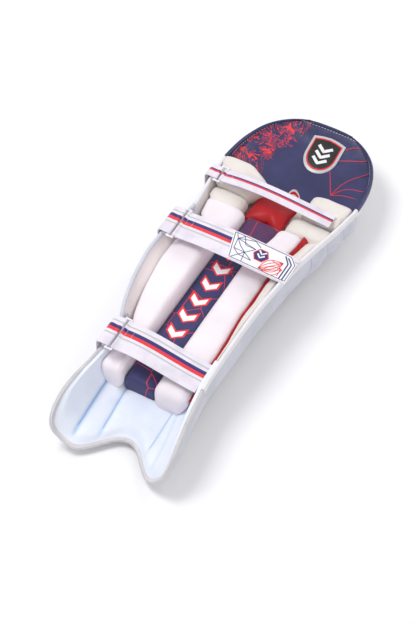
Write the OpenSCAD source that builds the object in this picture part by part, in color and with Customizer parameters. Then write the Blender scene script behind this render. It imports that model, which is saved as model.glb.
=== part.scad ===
// Cricket leg pad, lying on its front face.
// +X runs across the pad, +Y from the toe end to the top hat, +Z out of the side that faces the leg.
// Every wall of the pad is a part of one thick shell: u = 0 is its outer face, u = 1 its lining face.
// Along a cross-section, t = 0 is the left rim, 0.5 the middle of the front and 1 the right rim.

/* [Pad] */
// Half of the length of the pad
half_length = 350; // [348:1:352]
// Thickness of the side walls
wall = 9; // [8:0.5:10]
// Gap between two layers that lie on each other, as a share of the thickness
layer_gap = 0.03; // [0.02:0.005:0.04]

/* [Straps] */
// Thickness of the strap webbing
web_thick = 2.2; // [1.8:0.1:2.4]
// Width of the narrow knee strap
knee_strap_w = 26; // [22:1:28]
// Width of the calf strap and the ankle strap
leg_strap_w = 54; // [48:1:56]
// Radius of the wire of the strap rings
ring_r = 1.5; // [1.3:0.1:1.6]

/* [Canes] */
// Number of cane rods in the shin
cane_count = 7; // [5:2:9]
// Radius of a cane rod
cane_r = 3.2; // [2.5:0.1:3.3]

/* [Hidden] */
// Values at stations along Y: [y, value]
// Half of the width of the pad at its rims
width_at = [[-350, 102], [-300, 98], [-250, 90], [-200, 84], [-150, 86], [-100, 88], [-50, 90],
            [0, 94], [50, 99], [100, 106], [150, 114], [200, 120]];
// Height of the rims
rim_at = [[-350, 80], [-300, 85], [-250, 85], [-200, 88], [-150, 96], [-100, 101], [-50, 102],
          [0, 99], [50, 95], [100, 88], [150, 80], [200, 74], [240, 70], [280, 68], [350, 70]];
// Height of the outer face in the middle of the front
front_at = [[-350, 0], [-300, 3], [-250, 8], [-200, 12], [60, 12], [80, 9], [100, 6], [180, 6],
            [205, 7], [240, 12], [280, 20], [320, 30], [350, 40]];
// Thickness of the front, from the outer face to the lining
thick_at = [[-350, 14], [-300, 16], [-250, 19], [-200, 22], [-100, 24], [50, 26], [90, 31],
            [200, 31], [240, 30], [280, 28], [350, 22]];
// How square the cross-section is: 2 is an ellipse, more is squarer
square_at = [[-350, 2.8], [-250, 3.2], [-160, 3.8], [60, 3.6], [110, 3], [200, 2.8], [260, 2.4], [350, 2]];
// How far the left wing flares out beyond the right rim
flare_at = [[-165, 0], [-140, 10], [-100, 18], [-40, 24], [10, 20], [50, 10], [79, 0]];

ankle_y = -165;     // where the instep ends and the shin begins
knee_y = 79;        // where the shin ends and the knee begins
hat_y = 206;        // where the knee ends and the top hat begins
hat_round = 200;    // where the outline of the top hat begins to round in
seam = 1;           // gap between two sections
wing_t = 0.2;       // where the wing hinges on the left wall
arch_depth = 48;    // how far the toe edge is cut back between its two lobes
arch_half = 72;     // half of the width of that arch
arch_x = 7;         // the arch lies a little to the right
binding_w = 5;      // width of the toe binding
binding_gap = 1;    // gap between the binding and the instep
lift = 1.3;         // gap under the cushions and rolls
floor_edge = 2.5;   // thickness of a cushion at its edge

knee_strap_y = 160;
calf_strap_y = 27;
ankle_strap_y = -194;
ring_pitch = 9;     // from one bar of a strap ring to the other
sleeve_r = 3.4;     // outer radius of the fold around a ring bar
sleeve_bore = 1.9;  // inner radius of that fold
arm_gap = 1.2;      // between the edge of a strap and the arms of its ring

// ---- the shape of the pad ----
function mix(a, b, k) = a + (b - a) * k;
function ease(k) = let (c = min(1, max(0, k))) c * c * (3 - 2 * c);
function power(a, n) = sign(a) * pow(abs(a), n);
function half_w(y) = y < hat_round ? lookup(y, width_at)
    : 120 * pow(1 - pow(min(0.985, (y - hat_round) / (half_length - hat_round)), 2.5), 0.4);
function rim_z(y) = lookup(y, rim_at);
function front_z(y) = lookup(y, front_at);
function lining_z(y) = front_z(y) + lookup(y, thick_at);
function wall_at(y) = min(wall, 0.3 * half_w(y));
function angle_of(t) = 180 * (t - 0.5);
function across(y, t) = power(sin(angle_of(t)), 2 / lookup(y, square_at));
function up(y, t) = 1 - power(cos(angle_of(t)), 2 / lookup(y, square_at));
function flare(y, t) = t > wing_t ? 0
    : -lookup(y, flare_at) * ease((up(y, t) - up(y, wing_t)) / (1 - up(y, wing_t)));
function outer(y, t) = [half_w(y) * across(y, t) + flare(y, t), y, mix(front_z(y), rim_z(y), up(y, t))];
function inner(y, t) = [(half_w(y) - wall_at(y)) * across(y, t) + flare(y, t), y,
                        mix(lining_z(y), rim_z(y), up(y, t))];
function shell_point(y, t, u) = mix(outer(y, t), inner(y, t), u);
// Height of the lining at a place
function lining_at(x, y) = let (n = lookup(y, square_at), s = min(0.995, abs(x) / (half_w(y) - wall_at(y))))
    mix(lining_z(y), rim_z(y), 1 - pow(1 - pow(s, n), 1 / n));
function outer_at(x, y) = let (n = lookup(y, square_at), s = min(0.995, abs(x) / half_w(y)))
    mix(front_z(y), rim_z(y), 1 - pow(1 - pow(s, n), 1 / n));
// The toe edge: two lobes with an arch between, rounded up to the rims
function toe_arch(x) = abs(x - arch_x) > arch_half ? 0
    : arch_depth * (0.5 + 0.5 * cos(180 * (x - arch_x) / arch_half));
function toe_y(t) = -half_length + toe_arch(102 * across(-half_length, t))
    + 46 * pow(max(0, up(-half_length, t) - 0.35) / 0.65, 2);
function steps(a, b, count) = [for (i = [0:count]) mix(a, b, i / count)];

// A closed solid between two grids of points that have the same rows and columns
module between(low, high) {
    rows = len(low);
    cols = len(low[0]);
    count = rows * cols;
    flat = [for (r = low) each r, for (r = high) each r];
    function id(i, j, k) = k * count + i * cols + j;
    quads = [
        for (i = [0:rows - 2], j = [0:cols - 2]) each [
            [id(i, j, 0), id(i + 1, j, 0), id(i + 1, j + 1, 0)],
            [id(i, j, 0), id(i + 1, j + 1, 0), id(i, j + 1, 0)],
            [id(i, j, 1), id(i + 1, j + 1, 1), id(i + 1, j, 1)],
            [id(i, j, 1), id(i, j + 1, 1), id(i + 1, j + 1, 1)]],
        for (i = [0:rows - 2]) each [
            [id(i, 0, 0), id(i, 0, 1), id(i + 1, 0, 1)], [id(i, 0, 0), id(i + 1, 0, 1), id(i + 1, 0, 0)],
            [id(i, cols - 1, 0), id(i + 1, cols - 1, 1), id(i, cols - 1, 1)],
            [id(i, cols - 1, 0), id(i + 1, cols - 1, 0), id(i + 1, cols - 1, 1)]],
        for (j = [0:cols - 2]) each [
            [id(0, j, 0), id(0, j + 1, 1), id(0, j, 1)], [id(0, j, 0), id(0, j + 1, 0), id(0, j + 1, 1)],
            [id(rows - 1, j, 0), id(rows - 1, j, 1), id(rows - 1, j + 1, 1)],
            [id(rows - 1, j, 0), id(rows - 1, j + 1, 1), id(rows - 1, j + 1, 0)]]];
    polyhedron(flat, quads);
}

// A layer of the shell, from u0 to u1, over rows of y and columns of t
module layer(ys, ts, u0, u1) {
    between([for (y = ys) [for (t = ts) shell_point(y, t, u0)]],
            [for (y = ys) [for (t = ts) shell_point(y, t, u1)]]);
}

// A layer that swells out by a share of the thickness halfway along its rows
module swollen_layer(ys, ts, swell, u1) {
    last = len(ys) - 1;
    between([for (i = [0:last]) [for (t = ts) shell_point(ys[i], t, -swell * sin(180 * i / last))]],
            [for (y = ys) [for (t = ts) shell_point(y, t, u1)]]);
}

// A layer of the instep, whose first row follows the toe edge
toe_ts = steps(0, 1, 22);
module toe_layer(u0, u1) {
    rows = 5;
    function row_y(t, i) = mix(toe_y(t) + binding_w, ankle_y, i / rows);
    between([for (i = [0:rows]) [for (t = toe_ts) shell_point(row_y(t, i), t, u0)]],
            [for (i = [0:rows]) [for (t = toe_ts) shell_point(row_y(t, i), t, u1)]]);
}

// A cushion on the lining: x from left(y) to right(y), crowned up to top(y)
module cushion(ys, lefts, rights, tops) {
    cols = 6;
    function x_of(i, j) = mix(lefts[i], rights[i], j / cols);
    function base(i, j) = lining_at(x_of(i, j), ys[i]) + lift;
    function crown(j) = pow(1 - pow(abs(2 * j / cols - 1), 2.6), 0.5);
    function height(i, j) = floor_edge + max(0, tops[i] - floor_edge - base(i, j)) * crown(j);
    rows = [0:len(ys) - 1];
    between([for (i = rows) [for (j = [0:cols]) [x_of(i, j), ys[i], base(i, j)]]],
            [for (i = rows) [for (j = [0:cols]) [x_of(i, j), ys[i], base(i, j) + height(i, j)]]]);
}

// Where a long cushion ends, its top comes down
function rounded_tops(ys, top, end_top, reach) =
    [for (y = ys) mix(end_top, top, pow(ease(min(y - ys[0], ys[len(ys) - 1] - y) / reach), 0.6))];

// A strip of webbing: rows of [x, z] along its lower face, extruded along Y
module web(path, y, width, thick = web_thick) {
    translate([0, y + width / 2, 0]) rotate([90, 0, 0]) linear_extrude(width)
        polygon([for (p = path) p, for (i = [len(path) - 1:-1:0]) path[i] + [0, thick]]);
}

module rod_y(x, z, y, length, r) {
    translate([x, y + length / 2, z]) rotate([90, 0, 0]) cylinder(h = length, r = r, $fn = 32);
}

// ---- instep ----
module instep_face() { color("white") toe_layer(0, 0.14); }
module instep_foam() { color("gainsboro") toe_layer(0.14 + layer_gap, 0.82 - layer_gap); }
module instep_lining() { color("lavender") toe_layer(0.82, 1); }
module instep_binding() {
    edges = [0, binding_w - binding_gap];
    color("silver") between([for (y = edges) [for (t = toe_ts) shell_point(toe_y(t) + y, t, 0)]],
                            [for (y = edges) [for (t = toe_ts) shell_point(toe_y(t) + y, t, 1.1)]]);
}

// ---- shin ----
shin_ys = steps(ankle_y + seam, knee_y - seam, 6);
shin_ts = steps(wing_t + 0.004, 1, 14);
module shin_face() { color("white") layer(shin_ys, shin_ts, 0, 0.08); }
module shin_foam() { color("gainsboro") layer(shin_ys, shin_ts, 0.45, 0.9); }
module shin_lining() { color("white") layer(shin_ys, shin_ts, 0.93, 1); }
module shin_canes() {
    from = ankle_y + 6;
    length = 215;
    pitch = 13;
    color("burlywood") for (i = [0:cane_count - 1])
        let (x = pitch * (i - (cane_count - 1) / 2))
            rod_y(x, outer_at(x, from + length / 2) + 2.6 + cane_r, from + length / 2, length, cane_r);
}

// ---- knee ----
knee_ts = steps(0, 1, 16);
roll_pitch = (hat_y - knee_y) / 3;
module knee_roll(i) {
    from = knee_y + i * roll_pitch;
    swollen_layer(steps(from + seam / 2, from + roll_pitch - seam / 2, 4), knee_ts, 0.19, 0.3);
}
module knee_roll_lower() { color("white") knee_roll(0); }
module knee_roll_middle() { color("white") knee_roll(1); }
module knee_roll_upper() { color("white") knee_roll(2); }
knee_ys = steps(knee_y + seam / 2, hat_y - seam / 2, 4);
module knee_foam() { color("gainsboro") layer(knee_ys, knee_ts, 0.3 + layer_gap, 0.9); }
module knee_lining() { color("white") layer(knee_ys, knee_ts, 0.93, 1); }

// ---- wing ----
wing_ys = steps(ankle_y + seam, knee_y - seam, 8);
wing_ts = steps(0, wing_t - 0.004, 4);
module wing_cover() { color("aliceblue") layer(wing_ys, wing_ts, 0, 0.14); }
module wing_foam() { color("gainsboro") layer(wing_ys, wing_ts, 0.14 + layer_gap, 0.86 - layer_gap); }
module wing_lining() { color("linen") layer(wing_ys, wing_ts, 0.86, 1); }

// ---- top hat ----
hat_ys = [for (a = [0:10:80]) mix(hat_y + seam, half_length - 5, sin(a) / sin(80))];
hat_ts = steps(0, 1, 14);
module top_hat_face() { color("white") layer(hat_ys, hat_ts, 0, 0.1); }
module top_hat_foam() { color("gainsboro") layer(hat_ys, hat_ts, 0.1 + layer_gap, 0.9 - layer_gap); }
module top_hat_lining() { color("midnightblue") layer(hat_ys, hat_ts, 0.9, 1); }
module top_hat_piping() {
    r = 2;
    out = r + 2.2;
    left = [for (y = hat_ys) [-half_w(y) - out, y, rim_z(y)]];
    right = [for (i = [len(hat_ys) - 1:-1:0]) [half_w(hat_ys[i]) + out, hat_ys[i], rim_z(hat_ys[i])]];
    tip_y = hat_ys[len(hat_ys) - 1] + out;
    tip_w = half_w(hat_ys[len(hat_ys) - 1]);
    path = [each left, [-tip_w, tip_y, rim_z(tip_y) - 1], [tip_w, tip_y, rim_z(tip_y) - 1], each right];
    ring = [for (k = [0:5]) [r * cos(60 * k), r * sin(60 * k)]];
    last = len(path) - 1;
    function along(i) = let (d = path[min(last, i + 1)] - path[max(0, i - 1)]) d / norm(d);
    function side(i) = let (c = cross(along(i), [0, 0, 1])) c / norm(c);
    points = [for (i = [0:last], k = [0:5]) path[i] + side(i) * ring[k][0] + [0, 0, ring[k][1]]];
    faces = [
        for (i = [0:last - 1], k = [0:5]) let (m = (k + 1) % 6) each [
            [6 * i + k, 6 * i + 6 + k, 6 * i + 6 + m], [6 * i + k, 6 * i + 6 + m, 6 * i + m]],
        [for (k = [0:5]) k], [for (k = [5:-1:0]) 6 * last + k]];
    color("midnightblue") polyhedron(points, faces);
}
badge_x = 10;
badge_y = 298;
badge_w = 54;
badge_h = 64;
// A shield that narrows to a point at its lower end
function shield(w, h) = [[-w / 2, h * 0.42], [0, h * 0.5], [w / 2, h * 0.42],
    for (a = [0:15:180]) [w / 2 * cos(a), -h / 2 * sin(a)]];
// The badge leans with the lining, and lies on its highest points
badge_slope = (lining_at(badge_x, badge_y + badge_h / 2)
    - lining_at(badge_x, badge_y - badge_h / 2)) / badge_h;
badge_z = 0.8 + max([for (x = [-0.5:0.25:0.5], y = [-0.5:0.125:0.5])
    lining_at(badge_x + x * badge_w, badge_y + y * badge_h) - badge_slope * y * badge_h]);
module on_badge() {
    translate([badge_x, badge_y, badge_z]) rotate([atan(badge_slope), 0, 0]) children();
}
module badge_rim() {
    color("silver") on_badge() linear_extrude(2)
        difference() {
            polygon(shield(badge_w, badge_h));
            polygon(shield(badge_w - 8, badge_h - 8));
        }
}
module badge_shield() {
    color("black") on_badge() linear_extrude(1.6)
        polygon(shield(badge_w - 9, badge_h - 9));
}

// ---- cushions and rolls on the lining ----
bolster_top = 76;
bolster_ys = [-238, -226, -205, -170, -110, -50, 10, 70, 104, 118];
bolster_tops = rounded_tops(bolster_ys, bolster_top, 46, 50);
strip_left = -38;
strip_right = 11;
right_edge = [for (y = bolster_ys) y < -150 ? 64 : 62];
left_edge = [for (y = bolster_ys) -(half_w(y) - wall_at(y)) + (abs(y + 50) < 125 ? 10.5 : 5)];
module left_bolster() {
    color("linen") cushion(bolster_ys, left_edge, [for (y = bolster_ys) strip_left - 0.5], bolster_tops);
}
module right_bolster() {
    color("linen") cushion(bolster_ys, [for (y = bolster_ys) strip_right + 0.5], right_edge, bolster_tops);
}
module center_strip() {
    ys = [-232, -222, -200, -150, -80, 0, 80, 106, 124];
    color("midnightblue") cushion(ys, [for (y = ys) strip_left + 0.5], [for (y = ys) strip_right - 0.5],
                                  rounded_tops(ys, 61, 42, 40));
}
module right_bolster_gusset() {
    ys = steps(-222, 112, 8);
    module wall(xs, low, high) {
        between([for (y = ys) [for (x = xs) [x, y, lining_at(x, y) + low]]],
                [for (y = ys) [for (x = xs) [x, y, lining_at(x, y) + high]]]);
    }
    color("crimson") wall([64.6, 66.6], lift + 0.5, lift + 14);
}
module left_bolster_gusset() {
    ys = steps(ankle_y + 4, knee_y - 10, 8);
    function edge(t) = [for (y = ys) [for (x = [1, 2.2]) inner(y, t) + [x, 0, 0.5]]];
    color("crimson") between(edge(wing_t - 0.06), edge(wing_t - 0.1));
}
module right_side_roll() {
    ys = [-232, -222, -190, -152, -140, -60, 0, 80, 108, 116];
    rights = [for (y = ys) half_w(y) - wall_at(y) - (y < ankle_y + 20 ? 8 : 5)];
    color("linen") cushion(ys, [for (y = ys) 67.8], rights, [for (y = ys) y < -150 ? 72 : rim_z(y) - 4]);
}
module knee_cushion() {
    ys = [128, 132, 140, 155, 170, 180, 184];
    color("crimson") cushion(ys, [for (y = ys) -40], [for (y = ys) 31], rounded_tops(ys, 62, 44, 14));
}
module knee_label() {
    color("white") translate([12, 190, lining_at(20, 196) + 1]) linear_extrude(1.2)
        polygon([for (a = [0:15:180]) [15 * cos(a), 11 * sin(a)]]);
}
module lower_knee_bolster_left() {
    ys = [121, 126, 136, 146, 151];
    color("linen") cushion(ys, [for (y = ys) -half_w(y) + wall_at(y) + 4], [for (y = ys) -42],
                           rounded_tops(ys, 72, 52, 12));
}
module lower_knee_bolster_right() {
    ys = [121, 126, 136, 146, 151];
    color("linen") cushion(ys, [for (y = ys) 33], [for (y = ys) half_w(y) - wall_at(y) - 4],
                           rounded_tops(ys, 72, 52, 12));
}
module upper_knee_bolster_left() {
    ys = [153, 158, 170, 185, 199, 204];
    color("linen") cushion(ys, [for (y = ys) -half_w(y) + wall_at(y) + 3], [for (y = ys) -42],
                           rounded_tops(ys, 74, 56, 12));
}
module upper_knee_bolster_right() {
    ys = [153, 158, 170, 185, 199, 204];
    color("linen") cushion(ys, [for (y = ys) 42], [for (y = ys) half_w(y) - wall_at(y) - 3],
                           rounded_tops(ys, 74, 56, 12));
}

// ---- straps ----
// Each strap: [y, width, left rim x, left rim z, right end x, right end z]
knee_strap = [knee_strap_y, knee_strap_w, -half_w(knee_strap_y + 13), rim_z(knee_strap_y - 13), 96, 80];
calf_strap = [calf_strap_y, leg_strap_w, outer(0, 0)[0], rim_z(0), 97, 100.5];
ankle_strap = [ankle_strap_y, leg_strap_w, -87, 94, 72, 82];
bar_in = 15;        // from the outer face of the rim to the first ring bar
bar_up = 5.5;       // from the top of the rim to the ring bars
function bar_x(s) = s[2] + bar_in;
function bar_z(s) = s[3] + bar_up;
// The lower face of the strap, from the fold to the free end
function strap_path(s) = let (x0 = bar_x(s) + ring_pitch + sleeve_r - 0.3, z0 = bar_z(s) - web_thick / 2)
    [for (k = [0:12]) [mix(x0, s[4], k / 12), mix(z0, s[5], ease(k / 12)) + 3 * sin(15 * k)]];
module strap_webbing(s) {
    web(strap_path(s), s[0], s[1]);
    difference() {
        rod_y(bar_x(s) + ring_pitch, bar_z(s), s[0], s[1], sleeve_r);
        rod_y(bar_x(s) + ring_pitch, bar_z(s), s[0], s[1] + 2, sleeve_bore);
    }
}
module strap_ring(s) {
    arm_y = s[1] / 2 + arm_gap + ring_r;
    color("silver") {
        for (k = [0, 1]) rod_y(bar_x(s) + k * ring_pitch, bar_z(s), s[0], 2 * arm_y, ring_r);
        for (side = [-1, 1]) translate([bar_x(s), s[0] + side * arm_y, bar_z(s)])
            rotate([0, 90, 0]) translate([0, 0, -ring_r])
                cylinder(h = ring_pitch + 2 * ring_r, r = ring_r, $fn = 32);
    }
}
// The anchor tab comes up the outside of the wall, over the rim and around the first bar
module strap_tab(s) {
    leg = 24;
    over = s[3] + 0.8;
    out = s[2] - 3;
    difference() {
        union() {
            rod_y(bar_x(s), bar_z(s), s[0], s[1], sleeve_r);
            translate([0, s[0] + s[1] / 2, 0]) rotate([90, 0, 0]) linear_extrude(s[1])
                polygon([[out, over - leg], [out + web_thick, over - leg], [out + web_thick, over],
                         [bar_x(s), over], [bar_x(s), over + web_thick], [out, over + web_thick]]);
        }
        rod_y(bar_x(s), bar_z(s), s[0], s[1] + 2, sleeve_bore);
    }
}
module hook_pad(s, x0, length) {
    path = strap_path(s);
    low = min([for (p = path) if (p[0] > x0 - 12) p[1]]);
    translate([x0, s[0] - s[1] / 2 + 4, low - 2.1]) cube([length, s[1] - 8, 1.8]);
}
module knee_strap_tab() { color("lavender") strap_tab(knee_strap); }
module knee_strap_ring() { strap_ring(knee_strap); }
module knee_strap_webbing() { color("lavender") strap_webbing(knee_strap); }
module knee_strap_hook_pad() { color("whitesmoke") hook_pad(knee_strap, 74, 20); }
module knee_strap_loop_patch() {
    color("whitesmoke") translate([73, knee_strap_y - 11, 75.2]) cube([20, 22, 1.8]);
}
module calf_strap_tab() { color("lavender") strap_tab(calf_strap); }
module calf_strap_ring() { strap_ring(calf_strap); }
module calf_strap_webbing() { color("lavender") strap_webbing(calf_strap); }
module calf_strap_hook_pad() { color("whitesmoke") hook_pad(calf_strap, 68, 14); }
module calf_strap_loop_patch() {
    color("whitesmoke") translate([68, calf_strap_y - 23, 96.4]) cube([14, 46, 1.6]);
}
module calf_strap_end_patch() {
    path = [for (p = strap_path(calf_strap)) if (p[0] > -16) p + [0, web_thick + 0.2]];
    color("white") web(path, calf_strap_y, leg_strap_w - 4, 1.2);
}
module ankle_strap_tab() { color("lavender") strap_tab(ankle_strap); }
module ankle_strap_ring() { strap_ring(ankle_strap); }
module ankle_strap_webbing() { color("lavender") strap_webbing(ankle_strap); }
module ankle_strap_hook_pad() { color("whitesmoke") hook_pad(ankle_strap, 40, 26); }
module ankle_strap_loop_patch() {
    color("whitesmoke") translate([28, ankle_strap_y - 21, bolster_top + 0.4]) cube([20, 42, 1.6]);
}

instep_face();
instep_foam();
instep_lining();
instep_binding();
shin_face();
shin_canes();
shin_foam();
shin_lining();
knee_roll_lower();
knee_roll_middle();
knee_roll_upper();
knee_foam();
knee_lining();
wing_cover();
wing_foam();
wing_lining();
top_hat_face();
top_hat_foam();
top_hat_lining();
top_hat_piping();
badge_rim();
badge_shield();
left_bolster();
right_bolster();
left_bolster_gusset();
right_bolster_gusset();
center_strip();
right_side_roll();
knee_cushion();
knee_label();
lower_knee_bolster_left();
lower_knee_bolster_right();
upper_knee_bolster_left();
upper_knee_bolster_right();
knee_strap_tab();
knee_strap_ring();
knee_strap_webbing();
knee_strap_hook_pad();
knee_strap_loop_patch();
calf_strap_tab();
calf_strap_ring();
calf_strap_webbing();
calf_strap_hook_pad();
calf_strap_loop_patch();
calf_strap_end_patch();
ankle_strap_tab();
ankle_strap_ring();
ankle_strap_webbing();
ankle_strap_hook_pad();
ankle_strap_loop_patch();
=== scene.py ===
"""Looks for the cricket leg pad: covers, linings, cushions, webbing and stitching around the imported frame.

Lengths in this file are millimetres, in the frame of the design, until piece() turns them into metres.
Along a cross-section of the pad, t = 0 is the left rim, 0.5 the middle of the front and 1 the right rim.
Through its thickness, u = 0 is the outer face and u = 1 the lining face.
"""
import math

import bmesh
import bpy
import numpy as np
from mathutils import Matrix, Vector


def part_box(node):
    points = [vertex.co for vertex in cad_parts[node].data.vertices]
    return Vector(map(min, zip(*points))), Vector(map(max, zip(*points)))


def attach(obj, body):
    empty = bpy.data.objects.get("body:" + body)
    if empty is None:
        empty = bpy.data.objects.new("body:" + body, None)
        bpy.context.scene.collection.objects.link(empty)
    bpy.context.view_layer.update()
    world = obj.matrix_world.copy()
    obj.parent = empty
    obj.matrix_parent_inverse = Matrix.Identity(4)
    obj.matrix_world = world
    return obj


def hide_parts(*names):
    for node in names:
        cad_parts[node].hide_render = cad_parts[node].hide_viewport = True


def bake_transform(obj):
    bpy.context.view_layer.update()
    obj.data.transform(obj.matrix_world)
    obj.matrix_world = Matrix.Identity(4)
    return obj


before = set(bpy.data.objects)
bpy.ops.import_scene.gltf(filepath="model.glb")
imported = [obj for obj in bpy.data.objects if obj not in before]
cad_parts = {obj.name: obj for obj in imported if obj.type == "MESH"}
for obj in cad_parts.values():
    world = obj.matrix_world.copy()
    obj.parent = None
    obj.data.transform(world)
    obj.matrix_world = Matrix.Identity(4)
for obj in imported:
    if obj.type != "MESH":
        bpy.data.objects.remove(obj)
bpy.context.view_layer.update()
MM = 0.001


def cad_box(node):
    """The low and the high corner of a CAD node, in millimetres."""
    return [np.round(np.array(corner) / MM, 2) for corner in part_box(node)]


# ---------------------------------------------------------------- the shape of the pad
HALF_LENGTH = 350
WALL = 9                    # thickness of the side walls at the rim
ANKLE_Y, KNEE_Y, HAT_Y = -165, 79, 206  # where the instep, the shin and the knee end
HAT_ROUND = 200             # from here on the outline of the top hat rounds in
HAT_TIP = HALF_LENGTH - 5
WING_T = 0.2                # where the side wing is sewn to the shin
ARCH_DEPTH, ARCH_HALF, ARCH_X = 48, 72, 7  # the arch between the lobes of the toe edge
TOE_RISE, TOE_ROUND = 46, 26  # how far the toe edge runs back up the side walls
ROLL_PITCH = (HAT_Y - KNEE_Y) / 3
BINDING_TOP_Y = -215        # where the toe binding ends on the rims
STRIP_LEFT, STRIP_RIGHT = -38, 11  # the edges of the centre strip
UPWARD = np.array([0, 0, 1.0])
LIFT = 1.3                  # how far a cushion lies above the lining under it
EDGE, TAPER = 4.6, 24       # thickness of the free edges, and how far in the pad has its full thickness
TIP_RISE, TIP_BULGE = 8, 5  # how far the middle of the top hat's tip stands up and out
SIDE_T = 0.165              # where the mesh of the side walls meets the front
SEAM_GAP = 0.6              # between the covers of the instep and those of the shin
TOE_INSET = 2.5             # from the toe edge to the covers, under its binding


def smooth(*stations):
    """A smooth curve through (y, value) stations: straight runs with eased corners."""
    ys, values = np.array(stations, float).T
    fine = np.arange(-420.0, 421.0)
    reach = 21
    window = np.hanning(2 * reach + 1)
    padded = np.pad(np.interp(fine, ys, values), reach, mode="edge")
    eased = np.convolve(padded, window / window.sum(), "valid")
    return lambda y: np.interp(y, fine, eased)


# sizes of the cross-section along the pad: half width, height of the rims, height of the front above the
# ground, thickness, how square the section is, and how far the wing flares out
width_at = smooth((-350, 102), (-300, 98), (-250, 90), (-200, 84), (-150, 86), (-100, 88), (-50, 90),
                  (0, 94), (50, 99), (100, 106), (150, 114), (200, 120))
rim_at = smooth((-350, 80), (-300, 85), (-250, 85), (-200, 88), (-150, 96), (-100, 101), (-50, 102),
                (0, 99), (50, 95), (100, 88), (150, 80), (200, 74), (240, 70), (280, 68), (350, 70))
front_at = smooth((-350, 0.5), (-300, 3), (-250, 8), (-200, 12), (60, 12), (80, 9), (100, 6), (180, 6),
                  (205, 7), (240, 12), (280, 20), (320, 30), (350, 40))
thick_at = smooth((-350, 14), (-300, 16), (-250, 19), (-200, 22), (-100, 24), (50, 26), (90, 31),
                  (200, 31), (240, 30), (280, 28), (350, 22))
square_at = smooth((-350, 2.8), (-250, 3.2), (-160, 3.8), (60, 3.6), (110, 3), (200, 2.8), (260, 2.4),
                   (350, 2))
flare_at = smooth((-165, 0), (-140, 10), (-100, 18), (-40, 24), (10, 20), (50, 10), (79, 0))


def ease(k):
    k = np.clip(k, 0, 1)
    return k * k * (3 - 2 * k)


def power(a, n):
    return np.sign(a) * np.abs(a) ** n


def half_w(y):
    k = np.clip((y - HAT_ROUND) / (HALF_LENGTH - HAT_ROUND), 0, 0.985)
    return width_at(np.minimum(y, HAT_ROUND)) * (1 - k ** 2.5) ** 0.4


def wall_at(y):
    return np.minimum(WALL, 0.3 * half_w(y))


def across(y, t):
    return power(np.sin(np.pi * (t - 0.5)), 2 / square_at(y))


def up(y, t):
    return 1 - np.maximum(np.cos(np.pi * (t - 0.5)), 0) ** (2 / square_at(y))


def shell(y, t, u):
    """Points of the pad's shell."""
    y, t, u = np.broadcast_arrays(np.asarray(y, float), np.asarray(t, float), np.asarray(u, float))
    wing_up = up(y, WING_T)
    flare = np.where(t < WING_T, -flare_at(y) * ease((up(y, t) - wing_up) / (1 - wing_up)), 0)
    low = front_at(y) + thick_at(y) * u
    x = (half_w(y) - wall_at(y) * u) * across(y, t) + flare
    return np.stack([x, y, low + (rim_at(y) - low) * up(y, t)], axis=-1)


def floor_z(x, y):
    """Height of the lining at a place."""
    n = square_at(y)
    share = np.minimum(0.995, np.abs(x) / (half_w(y) - wall_at(y)))
    low = front_at(y) + thick_at(y)
    return low + (rim_at(y) - low) * (1 - (1 - share ** n) ** (1 / n))


def toe_y(t):
    """The toe edge: two lobes with an arch between, rounded up to the rims."""
    x = 102 * across(-HALF_LENGTH, t)
    arch = np.where(np.abs(x - ARCH_X) > ARCH_HALF, 0, 0.5 + 0.5 * np.cos(np.pi * (x - ARCH_X) / ARCH_HALF))
    rise = np.maximum(0, up(-HALF_LENGTH, t) - 0.35) / 0.65
    return 4 - HALF_LENGTH + ARCH_DEPTH * arch + TOE_RISE * rise ** 2 + TOE_ROUND * rise ** 10


def even_ts(t0, t1, count, y=0):
    """Values of t from t0 to t1 that lie evenly along the cross-section at y."""
    dense = 0.5 + 0.5 * power(np.linspace(-1, 1, 4001), 3)
    run = np.r_[0, np.cumsum(np.linalg.norm(np.diff(shell(y, dense, 0.5), axis=0), axis=1))]
    return np.interp(np.linspace(*np.interp([t0, t1], dense, run), count), run, dense)


def even(a, b, step):
    return np.linspace(a, b, max(2, int(round(abs(b - a) / step)) + 1))


def thinning(thickness, distance):
    """Share of the thickness that is lost on each face near a free edge."""
    return np.maximum(0, (1 - EDGE / thickness) / 2) * (1 - ease(distance / TAPER))


def near_tip(y):
    """0 on most of the pad, 1 at the tip of the top hat."""
    return ease((y - HAT_TIP + 45) / 45)


def layer(y, t, u):
    """Like shell(), but the pad gets thin towards its rims, its toe edge and the tip of the top hat.
    At that tip it is the outer face that comes in, so that the lining keeps its line."""
    y, t = np.broadcast_arrays(np.asarray(y, float), np.asarray(t, float))
    thickness = np.linalg.norm(shell(y, t, 1) - shell(y, t, 0), axis=-1)
    to_rim = rim_at(y) - shell(y, t, 0.5)[..., 2]
    lost = thinning(thickness, np.minimum(np.minimum(to_rim, y - toe_y(t)), HAT_TIP - y))
    tip = near_tip(y)
    points = shell(y, t, lost * (1 + tip) + u * (1 - 2 * lost))
    points[..., 2] += TIP_RISE * tip * (1 - up(y, t))
    points[..., 1] += TIP_BULGE * tip * (1 - up(y, t))
    return points


def sheet_grid(ys, ts, u):
    return layer(np.asarray(ys)[:, None], np.asarray(ts)[None, :], u)


def toe_grid(ts, step, u):
    """Rows of the instep, which follow the toe edge at first and end straight across at the ankle."""
    end_y = ANKLE_Y + SEAM_GAP
    k = np.linspace(0, 1, int((end_y + HALF_LENGTH) / step) + 1)[:, None]
    from_y = toe_y(ts)[None, :] + TOE_INSET
    return layer(from_y + (end_y - from_y) * k, ts[None, :], u)


def normals(grid):
    """Unit vectors at each point of a grid, towards the leg."""
    n = np.cross(np.gradient(grid, axis=1), np.gradient(grid, axis=0))
    return n / np.maximum(np.linalg.norm(n, axis=-1, keepdims=True), 1e-9)


def raised(grid, height):
    return grid + normals(grid) * np.broadcast_to(height, grid.shape[:-1])[..., None]


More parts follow.
